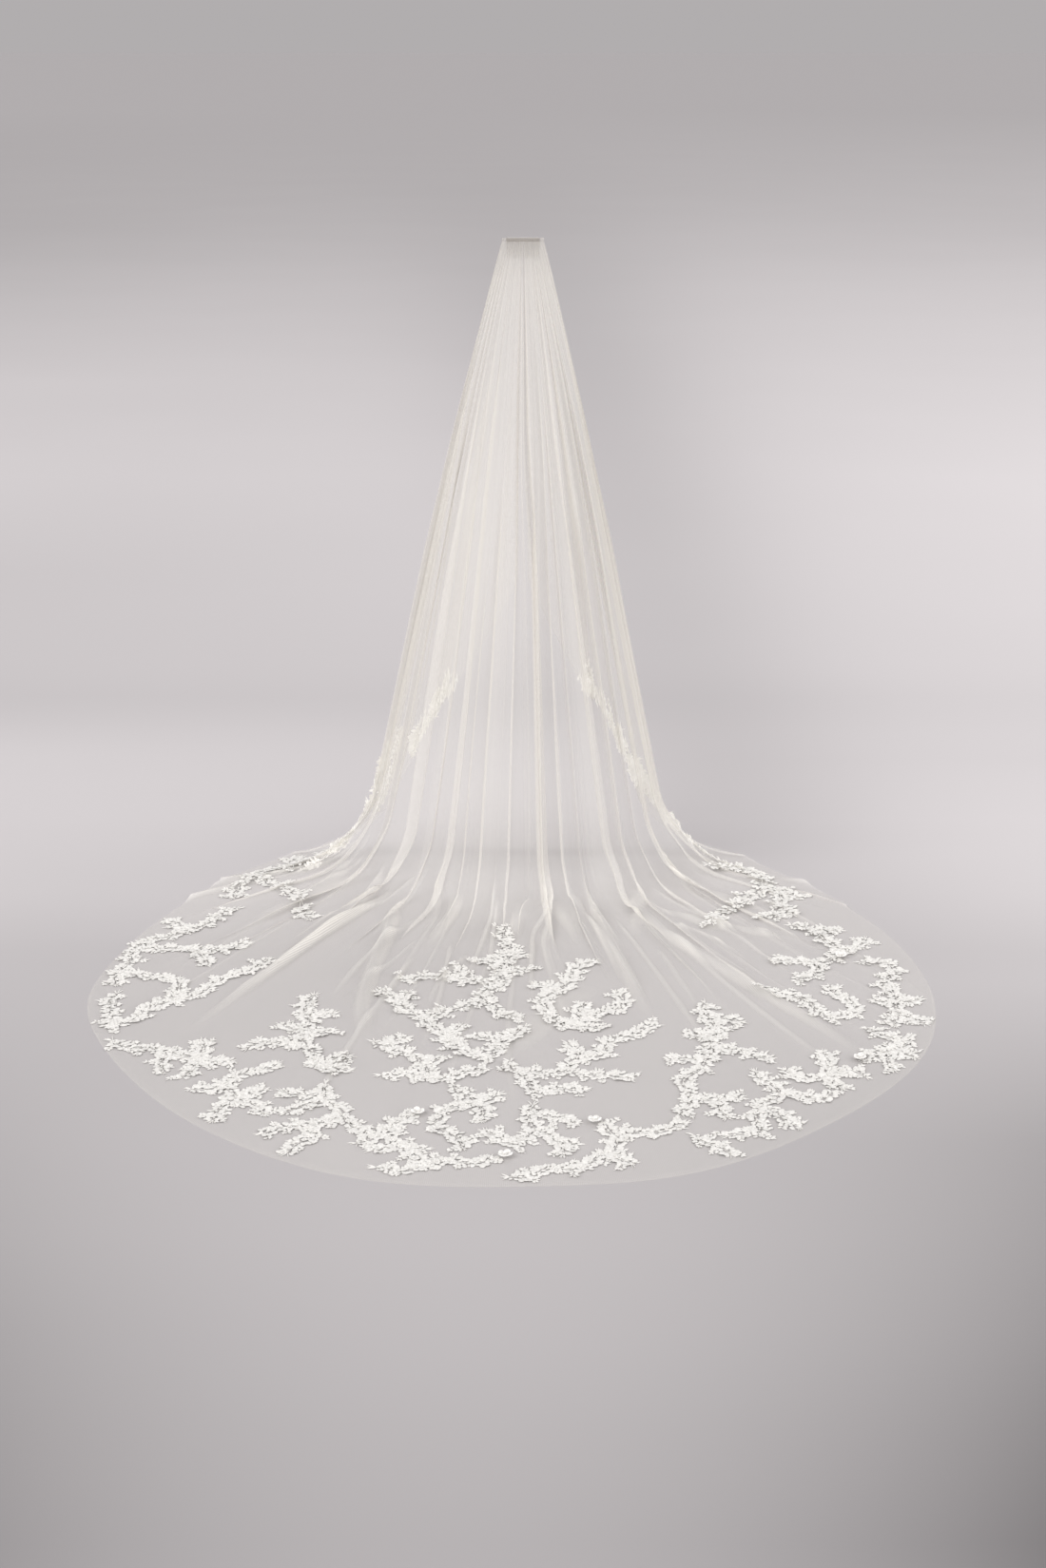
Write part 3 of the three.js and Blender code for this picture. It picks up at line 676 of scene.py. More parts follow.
class Drape:
    """The net's grid while its folds are laid on: heights off the smooth net, slips aside and crowding."""

    def __init__(self, draw):
        self.draw = draw
        self.share = np.linspace(-1, 1, GRID["across"])
        self.columns = Columns(self.share)
        self.s = self.columns.rows()
        self.u = np.broadcast_to(self.share, self.s.shape)
        self.smooth = self.columns.lie(self.s)
        self.normal = facing(self.smooth)
        across = np.gradient(self.smooth, axis=1)
        self.step = np.linalg.norm(across, axis=-1) / (self.share[1] - self.share[0])
        self.tangent = unit(across)
        self.on_floor = self.s - self.columns.hang
        self.lifted = smoothstep(self.on_floor, -self.columns.bend, 0)
        self.height = 0
        self.aside = 0
        self.crowd = np.ones_like(self.s)

    def wander(self, waves, low, high, drift=0.6):
        """A slow irregular value from about -1 to 1, with low to high waves across the net's width."""
        total = 0
        for _ in range(waves):
            across = self.draw.uniform(low, high)
            down = self.draw.uniform(-drift, drift) / 1000
            turns = across * self.share / 2 + down * self.s
            total = total + np.sin(2 * math.pi * turns + self.draw.uniform(0, 2 * math.pi))
        return total / math.sqrt(waves)

    def pleat(self):
        """The pleats of the hang: main ones that lap a little, fine ones and thread-fine ones on top."""
        s, u = self.s, self.u
        fade = 1 - smoothstep(self.on_floor, -self.columns.bend, PLEAT_DEEP["fade"])
        deeper = PLEAT_DEEP["full"] - PLEAT_DEEP["top"]
        deepest = PLEAT_DEEP["top"] + deeper * np.minimum(s / PLEAT_DEEP["full_at"], 1)
        turning = 1 - 0.6 * np.exp(-(((np.abs(u) - TURN) / 0.05) ** 2))
        edge = smoothstep(1 - np.abs(u), 0, 0.03)

        phase = math.pi * PLEATS * u + 2.0 * self.wander(5, 2, 7, 0.2)
        depth = np.clip(0.42 + 0.42 * self.wander(5, 3, 9, 0.2), 0.05, 0.95)
        wave = deepest * depth * turning * (np.cos(phase) + self.lifted)
        fine_phase = math.pi * FINE_PLEATS * u + 2.5 * self.wander(6, 6, 20, 0.15)
        uneven = np.clip(0.5 + 0.7 * self.wander(6, 6, 22, 0.2), 0, 1.6)
        fine_deep = 0.3 + 0.4 * np.minimum(s / 900, 1) * uneven
        wave = wave + fine_deep * (np.cos(fine_phase) + self.lifted)
        thread_phase = math.pi * THREAD_PLEATS * u + 2.0 * self.wander(6, 10, 30, 0.15)
        thread_deep = 0.5 * np.exp(-s / 160) + 0.03
        wave = wave + thread_deep * (np.cos(thread_phase) + self.lifted)

        self.height = wave * fade
        lap = 0.55 * depth * self.step * (2 / PLEATS) / (4 * math.pi) * np.sin(2 * phase)
        self.aside = lap * np.minimum(s / 150, 1) * fade * edge * turning

    def narrow_folds(self):
        """Narrow folds like the charted broad ones, one in each even part of the width."""
        draw = self.draw
        folds = []
        for k in range(NARROW["count"]):
            part = (k + draw.uniform(0.1, 0.9)) / NARROW["count"]
            place = part * 2 * NARROW["within"] - NARROW["within"]
            wide = draw.uniform(*NARROW["wide"])
            lap = draw.uniform(*NARROW["lap"])
            way = draw.choice((-1, 1))
            first = draw.uniform(*NARROW["first"])
            folds.append((place, wide, lap, way, first, draw.uniform(*NARROW["reach"])))
        return folds

    def lap(self):
        """Folds that lie over to one side and run out on the floor."""
        s = self.s
        foot_step = np.linalg.norm(np.gradient(self.columns.foot, self.share, axis=0), axis=1)
        for place, wide, far, way, first, reach in LAPPED_FOLDS + self.narrow_folds():
            sway = 0.007 * np.sin(s / 420 + self.draw.uniform(0, 6)) * np.minimum(s / 700, 1)
            drift = place + sway + 0.00002 * np.maximum(self.on_floor, 0) * way
            spent = np.clip(self.on_floor / reach, 0, 1)
            narrow = wide * np.minimum(1.0, foot_step / self.step) * (1 - 0.8 * spent**0.6)
            narrow = np.maximum(narrow, LEAST_WIDE)
            t = (self.u - drift) / narrow
            grow = smoothstep(s, first, first + 420) * (1 - smoothstep(spent, 0.35, 1))
            self.aside = self.aside - far * grow * narrow * self.step * t * np.exp(-t * t / 2)
            stack = LAP_DEEP["top"] + LAP_DEEP["more"] * np.minimum(s / PLEAT_DEEP["full_at"], 1)
            ridge = self.lifted * np.exp(-t * t / 5) - way * 0.8 * t * np.exp(-t * t / 4)
            self.height = self.height + grow * stack * (1 - 0.5 * self.lifted) * ridge

    def thin_folds(self):
        """Folds hardly wider than a thread, a little off the straight."""
        s = self.s
        draw = self.draw
        for _ in range(THIN["count"]):
            place = draw.uniform(-0.99, 0.99)
            lean = draw.uniform(*THIN["lean"])
            first = draw.uniform(*THIN["first"])
            end = draw.uniform(*THIN["end"])
            sharp = np.exp(-(((self.u - place - lean * s / 1600) / draw.uniform(*THIN["wide"])) ** 2))
            grow = smoothstep(s, first, first + 300) * (1 - smoothstep(self.on_floor, end - 300, end))
            high = draw.uniform(*THIN["height"]) * (0.3 + 0.7 * np.minimum(s / 900, 1))
            self.height = self.height + high * grow * sharp

    def long_folds(self):
        """The charted folds on the floor, in which the net lies double and covers more."""
        bend = self.columns.bend
        lying = smoothstep(self.on_floor, -0.2 * bend, 0.8 * bend)
        for path, high, wide in LONG_FOLDS:
            gap, along = nearest_on(path, self.smooth[..., 0], self.smooth[..., 1])
            ends = smoothstep(along, -0.01, 0.3) * (1 - smoothstep(along, 0.7, 1.0))
            taper = ends * (1 - 0.3 * along) * lying
            sharp = (0.45 + 0.75 * smoothstep(along, 0, 0.4)) * wide
            self.height = self.height + 0.75 * high * taper * np.exp(-((gap / sharp) ** 2))
            self.crowd = self.crowd + 1.1 * taper * np.exp(-((gap / (1.25 * sharp)) ** 6))

    def creases(self):
        """Sharp creases that fan out from the foot, and soft rolls of loose net between them."""
        draw = self.draw
        for _ in range(CREASE["count"]):
            start = draw.uniform(*CREASE["place"])
            reach = draw.uniform(*CREASE["reach"])
            high = draw.uniform(*CREASE["height"])
            wide = draw.uniform(*CREASE["wide"])
            lean = draw.uniform(*CREASE["lean"])
            bow = draw.uniform(*CREASE["bow"])
            first = draw.uniform(*CREASE["first"])
            t = np.clip((self.on_floor - first) / reach, 0, 1)
            off = self.u - (start + lean * t + bow * np.sin(math.pi * t))
            taper = smoothstep(t, 0, 0.15) * (1 - smoothstep(t, 0.5, 1)) * self.lifted
            self.height = self.height + high * taper * np.exp(-((off / wide) ** 2))
            self.crowd = self.crowd + 0.13 * high * taper * np.exp(-((off / (0.7 * wide)) ** 4))
        rolls = np.maximum(self.wander(10, 2, 16, 3.0), 0) ** 2
        self.height = self.height + 2.4 * self.lifted * (1 - smoothstep(self.on_floor, 500, 1300)) * rolls

    def points(self):
        """The finished grid, and how far the cloth is gathered and how squarely it faces out of the veil."""
        points = self.smooth + self.normal * self.height[..., None] + self.tangent * self.aside[..., None]
        points[..., 2] = np.maximum(points[..., 2], GROUND + NET_THICK / 2 - PRESSED)
        modelled = np.linalg.norm(np.gradient(points, axis=1), axis=-1) / (self.share[1] - self.share[0])
        padded = np.pad(modelled, ((0, 0), (EVEN_OVER, EVEN_OVER)), mode="edge")
        window = 2 * EVEN_OVER + 1
        even = np.stack([np.convolve(row, np.ones(window) / window, mode="valid") for row in padded])
        square = np.abs((facing(points) * self.normal).sum(-1))
        return points, np.maximum(HALF_WIDTH / even, 1.0), square


def grid_faces(rows, wide):
    n = (np.arange(rows - 1)[:, None] * wide + np.arange(wide - 1)).ravel()
    return np.column_stack([n, n + wide, n + wide + 1, n + 1])


NET_COVER = 0.2  # of the view that one flat layer of net covers
GATHERED_MOST = 2.6  # layers that gathering is drawn as, at most
LAYERS_SHOW = 0.85  # power of the layers that lie over each other, which partly hide one another
EDGE_ON_LEAST = 0.42  # cloth seen edge on covers more, up to 1 over this
THIN_OVER_COMB = {"less": 0.55, "reach": 70}  # cover taken off near the comb, fading out downwards
HEM = {"more": 0.4, "wide": 6.0}  # cover added at the cut edges, fading out inwards
NET_CELL = 0.0022
NET_IVORY = {"low": (0.89, 0.864, 0.81), "high": (0.915, 0.892, 0.842)}


def net_finish():
    """Six-sided net: threads cover more where the cloth is gathered or stands edge on."""
    material, start, sockets = finish_called(
        "bobbin_net", Roughness=0.7, Sheen_Weight=0.15, Specular_IOR_Level=0.25
    )
    cloth = start.node("UVMap", {"uv_map": "cloth"}, {})
    x = start.node("SeparateXYZ", {}, {0: cloth}, out=0)
    y = start.node("SeparateXYZ", {}, {0: cloth}, out=1)
    turns = 2 * math.pi / NET_CELL
    high = math.sin(math.pi / 3)
    cells = sum(
        start.maths("COSINE", x * (turns * a) + y * (turns * b), 0.0)
        for a, b in ((1.0, 0.0), (-0.5, high), (0.5, high))
    )
    cover = start.node("Attribute", {"attribute_name": "cover"}, {}, out=2)
    drawn = start.node("Mapping", {}, {"Vector": cloth, "Scale": (14.0, 0.4, 1.0)})
    uneven = start.node("TexNoise", {}, {"Vector": drawn, "Scale": 1.0, "Detail": 2.0})
    (cover * (1.0 - cells * 0.16) * (0.8 + uneven * 0.4)).to(sockets["Alpha"])
    blended(start, NET_IVORY["low"], NET_IVORY["high"], uneven).to(sockets["Base Color"])
    return material


def keep_on_points(made, name, values):
    """A number on every point of a mesh, for its material."""
    kept = made.data.attributes.new(name, "FLOAT", "POINT")
    kept.data.foreach_set("value", values.ravel().astype(np.float32))


def keep_flat(made, name, places):
    """Each point's place on the flat cloth or thread, in metres, for its material."""
    corner = np.zeros(len(made.data.loops), np.int32)
    made.data.loops.foreach_get("vertex_index", corner)
    kept = made.data.uv_layers.new(name=name)
    kept.data.foreach_set("uv", places[corner].ravel().astype(np.float32))


drape = Drape(np.random.default_rng(20))
drape.pleat()
drape.lap()
drape.thin_folds()
drape.long_folds()
drape.creases()
net_mm, net_gathered, net_square = drape.points()
net_s = drape.s
net_rows, net_wide = net_s.shape
net = mesh_object("net", net_mm.reshape(-1, 3) * MM, grid_faces(net_rows, net_wide), net_finish())
density = (drape.crowd * np.minimum(net_gathered, GATHERED_MOST)) ** LAYERS_SHOW
density /= np.clip(net_square, EDGE_ON_LEAST, 1)
density *= 1 - THIN_OVER_COMB["less"] * np.exp(-((net_s / THIN_OVER_COMB["reach"]) ** 2))
from_hem = (net_s[-1] - net_s) / HEM["wide"]
from_side = (1 - np.abs(drape.u)) * HALF_WIDTH / HEM["wide"]
hem = 1 + HEM["more"] * (np.exp(-from_hem) + np.exp(-from_side))
keep_on_points(net, "cover", 1 - (1 - NET_COVER) ** (density * hem))
keep_flat(net, "cloth", np.stack([drape.u * HALF_WIDTH, net_s], -1).reshape(-1, 2) * MM)
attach(net, "root")
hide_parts("tulle")


# Lace. Sprays of embroidered leaves, petals and small flowers on corded stems, cut out and sewn to the net
# by hand, over the train and over the flaps at the back.
FLOOR_SPRAYS = {
    # the stems of each spray in plan, in millimetres, in the order they are embroidered
    "lace_left_back": [
        [(-520, 340), (-580, 295), (-680, 258), (-738, 70)], [(-620, 285), (-606, 350)],
        [(-690, 225), (-620, 130), (-565, 30), (-532, -70)],
    ],
    "lace_left_shoulder": [
        [(-722, -8), (-770, -75), (-830, -150), (-885, -85)],
        [(-830, -150), (-905, -200), (-940, -300), (-950, -385), (-942, -470)],
        [(-930, -270), (-790, -270), (-670, -230)], [(-800, -270), (-750, -355)],
        [(-950, -400), (-885, -415)],
    ],
    "lace_left_side": [
        [(-935, -520), (-930, -625), (-930, -700), (-870, -660), (-810, -565), (-805, -440)],
        [(-805, -450), (-850, -420)], [(-810, -565), (-735, -505), (-670, -410), (-612, -330)],
    ],
    "lace_left_corner": [
        [(-900, -770), (-850, -805), (-770, -825), (-765, -920)],
        [(-770, -825), (-705, -870), (-705, -770)], [(-705, -870), (-720, -945)],
        [(-705, -870), (-630, -870)],
    ],
    "lace_left_front": [
        [(-695, -1000), (-635, -990), (-580, -920), (-530, -885)],
        [(-635, -990), (-595, -1040), (-630, -1140)], [(-595, -1040), (-530, -1112)],
        [(-595, -1030), (-545, -1005)],
    ],
    "lace_left_spray": [
        [(-480, -530), (-490, -625), (-485, -710), (-475, -795), (-445, -895)],
        [(-490, -640), (-430, -625)], [(-485, -710), (-535, -690)], [(-480, -735), (-425, -720)],
        [(-475, -795), (-550, -770), (-600, -805)], [(-445, -895), (-380, -850)],
        [(-445, -895), (-375, -910)],
    ],
    "lace_left_root": [
        [(-415, -985), (-400, -1060), (-370, -1115), (-310, -1195)], [(-412, -1025), (-500, -1012)],
        [(-400, -1060), (-485, -1105)], [(-370, -1115), (-455, -1165), (-520, -1195)],
        [(-455, -1165), (-415, -1205), (-465, -1275)],
    ],
    "lace_middle_spray": [
        [(-40, -130), (-40, -215), (-50, -360), (-40, -455), (-90, -515), (-85, -570), (-60, -625),
         (-10, -650)],
        [(-45, -290), (5, -305)], [(-48, -330), (-110, -345)], [(-45, -400), (12, -395)],
        [(-60, -475), (-145, -445), (-145, -375)], [(-145, -445), (-230, -425), (-280, -442)],
        [(-85, -570), (-145, -600)],
    ],
    "lace_middle_right": [
        [(48, -645), (38, -560), (75, -515), (115, -395), (168, -338)], [(75, -515), (32, -465)],
        [(48, -645), (95, -700), (130, -665), (140, -585)],
        [(130, -665), (170, -635), (225, -600), (216, -515)], [(95, -700), (165, -712)],
    ],
    "lace_middle_left": [
        [(5, -705), (-20, -755), (-105, -745)],
        [(-20, -755), (-65, -845), (-100, -855), (-160, -795), (-140, -695)],
        [(-160, -795), (-210, -690), (-215, -655), (-175, -605)],
        [(-215, -655), (-275, -580), (-335, -515)], [(-275, -580), (-262, -525)],
    ],
    "lace_inner_left": [
        [(-325, -775), (-295, -795), (-260, -755)],
        [(-295, -795), (-250, -835), (-215, -885), (-180, -855)], [(-215, -885), (-205, -955)],
        [(-300, -935), (-255, -925), (-205, -955), (-135, -935), (-85, -915)],
    ],
    "lace_inner_root": [
        [(-145, -985), (-125, -1025), (-95, -1065), (-55, -1025)], [(-95, -1065), (-85, -1140)],
        [(-95, -1065), (-170, -1105), (-180, -1150), (-150, -1190), (-120, -1255)],
    ],
    "lace_hem_left": [
        [(-330, -1235), (-265, -1165), (-225, -1120)], [(-265, -1165), (-245, -1255), (-195, -1262)],
        [(-245, -1255), (-295, -1265)], [(-285, -1335), (-245, -1350), (-200, -1325)],
        [(-245, -1255), (-200, -1325), (-155, -1310), (-105, -1320), (-65, -1300)],
    ],
    "lace_middle_root": [
        [(-28, -880), (-10, -925), (15, -995), (40, -1025), (75, -995), (125, -1000)],
        [(-10, -925), (50, -925), (95, -915), (120, -855), (175, -835), (205, -755), (260, -720),
         (295, -690)],
        [(95, -915), (175, -935), (225, -955)], [(120, -855), (100, -785)],
    ],
    "lace_hem_middle": [
        [(20, -1075), (25, -1180)], [(25, -1115), (105, -1150)],
        [(25, -1180), (5, -1235), (-35, -1235), (-75, -1190)], [(25, -1180), (60, -1215), (105, -1240)],
        [(60, -1215), (80, -1280)],
    ],
    "lace_hem_right": [
        [(-25, -1372), (25, -1362), (65, -1335), (125, -1335), (170, -1275), (190, -1210),
         (165, -1155)],
        [(170, -1275), (212, -1315)], [(190, -1210), (240, -1190), (290, -1180), (325, -1155)],
    ],
    "lace_right_back": [
        [(490, 268), (575, 280), (620, 195), (640, 130), (705, 65)],
        [(640, 130), (570, 50), (525, -10), (468, -125)], [(640, 130), (655, 30), (675, -55)],
        [(670, -35), (595, -58)],
    ],
    "lace_right_shoulder": [
        [(665, -118), (730, -150), (775, -150)], [(730, -150), (735, -220), (760, -290), (835, -205)],
        [(760, -290), (695, -355), (600, -330)], [(695, -355), (680, -425), (640, -450)],
    ],
    "lace_right_side": [
        [(805, -345), (855, -330), (875, -410), (835, -485), (855, -565), (905, -552)],
        [(855, -565), (805, -562)], [(855, -565), (850, -635), (895, -680)], [(850, -635), (828, -690)],
    ],
    "lace_right_inner": [
        [(540, -485), (610, -530), (660, -600), (700, -660), (750, -625), (740, -550), (710, -485)],
    ],
    "lace_right_corner": [
        [(765, -705), (850, -770), (800, -815), (735, -860)], [(800, -815), (842, -850)],
        [(800, -815), (790, -910)],
    ],
    "lace_right_front": [
        [(725, -945), (685, -905), (635, -950)], [(640, -940), (650, -830)], [(635, -950), (665, -995)],
        [(635, -950), (590, -960), (562, -915)],
    ],
    "lace_right_hem": [
        [(495, -920), (515, -970), (535, -1025), (575, -1025), (605, -1055), (642, -1018)],
        [(535, -1025), (500, -1060), (475, -1145)], [(500, -1085), (525, -1115), (555, -1165)],
        [(475, -1145), (470, -1200), (415, -1205)],
    ],
    "lace_right_spray": [
        [(415, -575), (420, -650), (485, -675)], [(420, -650), (445, -720), (365, -745)],
        [(445, -720), (410, -805), (465, -815), (530, -855)], [(410, -805), (390, -870), (315, -860)],
        [(390, -870), (365, -925), (335, -980), (345, -1045), (410, -1045), (450, -1040)],
        [(410, -1045), (415, -1125)], [(345, -1045), (322, -1108)],
    ],
    "lace_right_tail": [
        [(345, -1205), (365, -1235), (410, -1282)],
    ],
}
FLAP_SPRAYS = {
    # stems on the flaps at the back: millimetres along the hem from the flap's corner, and up from it
    "lace_flap_left": [
        [(345, 14), (410, 26), (480, 18), (545, 30), (620, 20), (690, 28), (765, 18), (835, 34)],
        [(410, 26), (395, 70)], [(480, 18), (470, 66)], [(545, 30), (548, 76)], [(690, 28), (680, 74)],
        [(765, 18), (745, 66)], [(835, 34), (812, 84)],
        [(1085, 330), (1082, 250), (1100, 180), (1190, 150)],
        [(1420, 560), (1445, 505), (1500, 462), (1565, 440), (1600, 405), (1640, 370), (1700, 360),
         (1790, 305)],
        [(1445, 505), (1400, 480)], [(1500, 462), (1450, 440)], [(1565, 440), (1500, 400)],
        [(1700, 360), (1720, 400)],
    ],
    "lace_flap_right": [
        [(335, 12), (400, 26), (470, 18), (540, 30), (620, 24), (690, 26), (765, 18), (830, 32)],
        [(400, 26), (385, 70)], [(470, 18), (460, 66)], [(540, 30), (545, 76)], [(620, 24), (625, 70)],
        [(690, 26), (680, 74)], [(765, 18), (745, 66)], [(830, 32), (812, 84)],
        [(830, 32), (900, 44), (985, 80), (1100, 150), (1220, 230), (1330, 320), (1400, 330),
         (1430, 285), (1455, 245), (1490, 205), (1560, 190), (1640, 150)],
        [(1400, 330), (1350, 380)], [(1100, 150), (1110, 210)], [(900, 44), (890, 90)],
    ],
}

BRANCH_BOW = 0.1  # of a branch's length
LOBE_PITCH = 42.0  # millimetres along a branch, as the other pitches are
PAIR_PITCH = 6.6
PAIR_OPEN = (32, 74)  # degrees between a leaf and its stem
SPRIG_PITCH = 21.0
SPRIG_OPEN = (42, 72)
SPRIG_LONG = (17.0, 34.0)
FLOWER_PITCH = 44.0
FLOWER_PETAL = (7.5, 10.5)
TUFT = {"leaves": 5, "spread": 48, "long": (13, 24), "wide": (2.2, 3.6)}
CORD_RADIUS = 0.8
CORD_STEP = 9.0
FLOOR_CLEAR = 0.1
LEAF_LONG = (13.5, 21.5)
LEAF_WIDE = (0.42, 0.6)  # of its length
PETAL_WIDE = (0.7, 0.92)
PETAL_LONG = 0.82  # of a leaf's length
ROUND_NEAR = -900.0  # leaves are rounder in front of this line
STATIONS = {
    # a leaf, from its base to its tip: how far along, its half width and its rise, as shares of the whole
    "leaf": [(0.2, 0.62, 0.75), (0.5, 1.0, 1.0), (0.8, 0.66, 0.7)],
    "petal": [(0.25, 0.6, 0.8), (0.6, 1.0, 1.0), (0.88, 0.72, 0.7)],
}


def leaf_form(stations):
    """A low closed leaf, 1 long and 1 wide, with a groove down its middle: its points and triangles."""
    points = [(0.0, 0.0, 0.12)]
    for along, half, rise in stations:
        points += [(-half / 2, along, 0.0), (-half / 4, along, rise), (0.0, along, rise * 0.62)]
        points += [(half / 4, along, rise), (half / 2, along, 0.0)]
    tip = len(points)
    points.append((0.0, 1.0, 0.1))
    faces = []
    for k in range(4):
        faces.append((0, 1 + k + 1, 1 + k))
        faces.append((tip, tip - 5 + k, tip - 5 + k + 1))
    for station in range(len(stations) - 1):
        first = 1 + 5 * station
        for k in range(4):
            a, b = first + k, first + k + 1
            faces.append((a, b, b + 5))
            faces.append((a, b + 5, a + 5))
    left = [1 + 5 * station for station in range(len(stations))]
    right = [n + 4 for n in left]
    rim = [0] + left + [tip] + right[::-1]
    for k in range(1, len(rim) - 1):
        faces.append((rim[0], rim[k], rim[k + 1]))
    return np.array(points), np.array(faces)


def tipped(level, out, angle):
    """Two directions at right angles, turned together so that the level one leans outwards."""
    leaning = level * math.cos(angle) + out * math.sin(angle)
    return leaning, out * math.cos(angle) - level * math.sin(angle)


class Spray:
    """Leaves, petals and cords collected for one spray. Land places a point on the net, draw is its chance,
    and least is how light its leaves' rims stay under their painted shade."""

    def __init__(self, land, draw, least):
        self.land = land
        self.draw = draw
        self.least = least
        self.rows = {form: [] for form in STATIONS}
        self.cords = []

    def leaf(self, x, y, angle, long, wide, rise, lift=0.6, tip_up=8.0, roll=0.0, tone=0.5, form="leaf"):
        self.rows[form].append((x, y, angle, long, wide, rise, lift, tip_up, roll, tone))

    def flower(self, x, y, radius, lift, cupped, tone, petals=5):
        """A ring of petals round three small ones."""
        turn = self.draw.uniform(0, 2 * math.pi)
        for k in range(petals):
            angle = turn + 2 * math.pi * k / petals + self.draw.uniform(-0.12, 0.12)
            self.leaf(x, y, angle, radius * self.draw.uniform(0.9, 1.1), radius * 0.82, radius * 0.14,
                      lift, cupped, 0.0, tone, "petal")
        for k in range(3):
            self.leaf(x, y, turn + 2.1 * k, radius * 0.34, radius * 0.3, radius * 0.2,
                      lift + radius * 0.16, 10, 0, tone - 0.2, "petal")

    def pair(self, centre, angle, size, out):
        """A leaf on each side of a stem."""
        draw = self.draw
        round_share = 1 / (1 + math.exp((centre[1] - ROUND_NEAR) / 120))
        for side in (-1, 1):
            turn = angle + side * math.radians(draw.uniform(*PAIR_OPEN))
            x = centre[0] - side * out * math.sin(angle) + draw.uniform(-1, 1)
            y = centre[1] + side * out * math.cos(angle) + draw.uniform(-1, 1)
            rounded = draw.uniform(0, 1) < 0.45 + 0.45 * round_share
            long = draw.uniform(*LEAF_LONG) * size * (PETAL_LONG if rounded else 1.0)
            wide = long * draw.uniform(*(PETAL_WIDE if rounded else LEAF_WIDE))
            self.leaf(x, y, turn, long, wide, draw.uniform(1.1, 2.0), draw.uniform(0.3, 1.6),
                      draw.uniform(0, 9), draw.uniform(-12, 12), draw.uniform(0, 1),
                      "petal" if rounded else "leaf")

    def sprig(self, x, y, angle, long):
        """A short side stem with small leaves in pairs and one at its tip."""
        draw = self.draw
        bend = draw.uniform(-0.5, 0.5)
        steps = max(2, int(long / PAIR_PITCH))
        path = [(x, y)]
        for k in range(steps):
            turn = angle + bend * (k + 1) / steps
            x += math.cos(turn) * long / steps
            y += math.sin(turn) * long / steps
            path.append((x, y))
            self.pair((x, y), turn, 0.88 - 0.2 * (k + 1) / steps, 0.6)
        tip = draw.uniform(9, 14)
        turn = angle + bend
        self.leaf(x, y, turn, tip, tip * 0.42, 1.3, 0.8, draw.uniform(0, 10), 0, draw.uniform(0.3, 1))
        if draw.uniform(0, 1) < 0.35:
            self.leaf(x, y, turn + draw.uniform(-0.6, 0.6), tip * 1.5, 2.4, 0.9, 0.8, 5, 0, 0.7)
        self.cords.append(path)

    def branch(self, start, end, bow, free_start, free_end):
        """A stem with leaves in pairs, side sprigs, flowers, and a tuft of thin leaves at each free end."""
        draw = self.draw
        start, end = np.array(start, float), np.array(end, float)
        along = end - start
        long = np.linalg.norm(along)
        aside = np.array([-along[1], along[0]])
        pairs = max(3, int(long / PAIR_PITCH))

        def centre_of(t):
            return start + along * t + aside * bow * math.sin(math.pi * t)

        def angle_at(t):
            way = along + aside * bow * math.pi * math.cos(math.pi * t)
            return math.atan2(way[1], way[0])

        for k in range(pairs + 1):
            t = k / pairs
            lobe = abs(math.sin(math.pi * t * max(1, round(long / LOBE_PITCH))))
            self.pair(centre_of(t), angle_at(t), 0.8 + 0.3 * lobe, draw.uniform(1.5, 4 + 5 * lobe))
            if k % 2 == 0:
                turn = angle_at(t) + math.radians(draw.uniform(-40, 40))
                centre = centre_of(t) + draw.uniform(-2, 2, 2)
                leaf_long = draw.uniform(8, 12)
                self.leaf(*centre, turn, leaf_long, leaf_long * 0.52, 1.8, draw.uniform(1.4, 2.4),
                          draw.uniform(2, 12), draw.uniform(-15, 15), draw.uniform(0.2, 1))
        sprigs = max(1, round(long / SPRIG_PITCH))
        for k in range(sprigs):
            t = (k + draw.uniform(0.25, 0.75)) / sprigs
            side = 1 if (k + int(start[0])) % 2 else -1
            angle = angle_at(t) + side * math.radians(draw.uniform(*SPRIG_OPEN))
            self.sprig(*centre_of(t), angle, draw.uniform(*SPRIG_LONG))
        flowers = max(1, round(long / FLOWER_PITCH))
        for k in range(flowers):
            t = (k + draw.uniform(0.2, 0.8)) / flowers
            place = centre_of(t) + draw.uniform(-5, 5, 2)
            self.flower(*place, draw.uniform(*FLOWER_PETAL), draw.uniform(1.4, 2.6),
                        draw.uniform(4, 16), draw.uniform(0.5, 1.1))
        for place, outward, free in ((start, math.pi, free_start), (end, 0.0, free_end)):
            if not free:
                continue
            angle = math.atan2(along[1], along[0]) + outward
            for _ in range(TUFT["leaves"]):
                turn = angle + math.radians(draw.uniform(-TUFT["spread"], TUFT["spread"]))
                leaf_long = draw.uniform(*TUFT["long"])
                self.leaf(*place, turn, leaf_long, draw.uniform(*TUFT["wide"]), 0.9, 0.5,
                          draw.uniform(0, 6), 0, draw.uniform(0.3, 1))
        self.cords.append([centre_of(t) for t in np.linspace(0, 1, max(3, int(long / CORD_STEP)))])

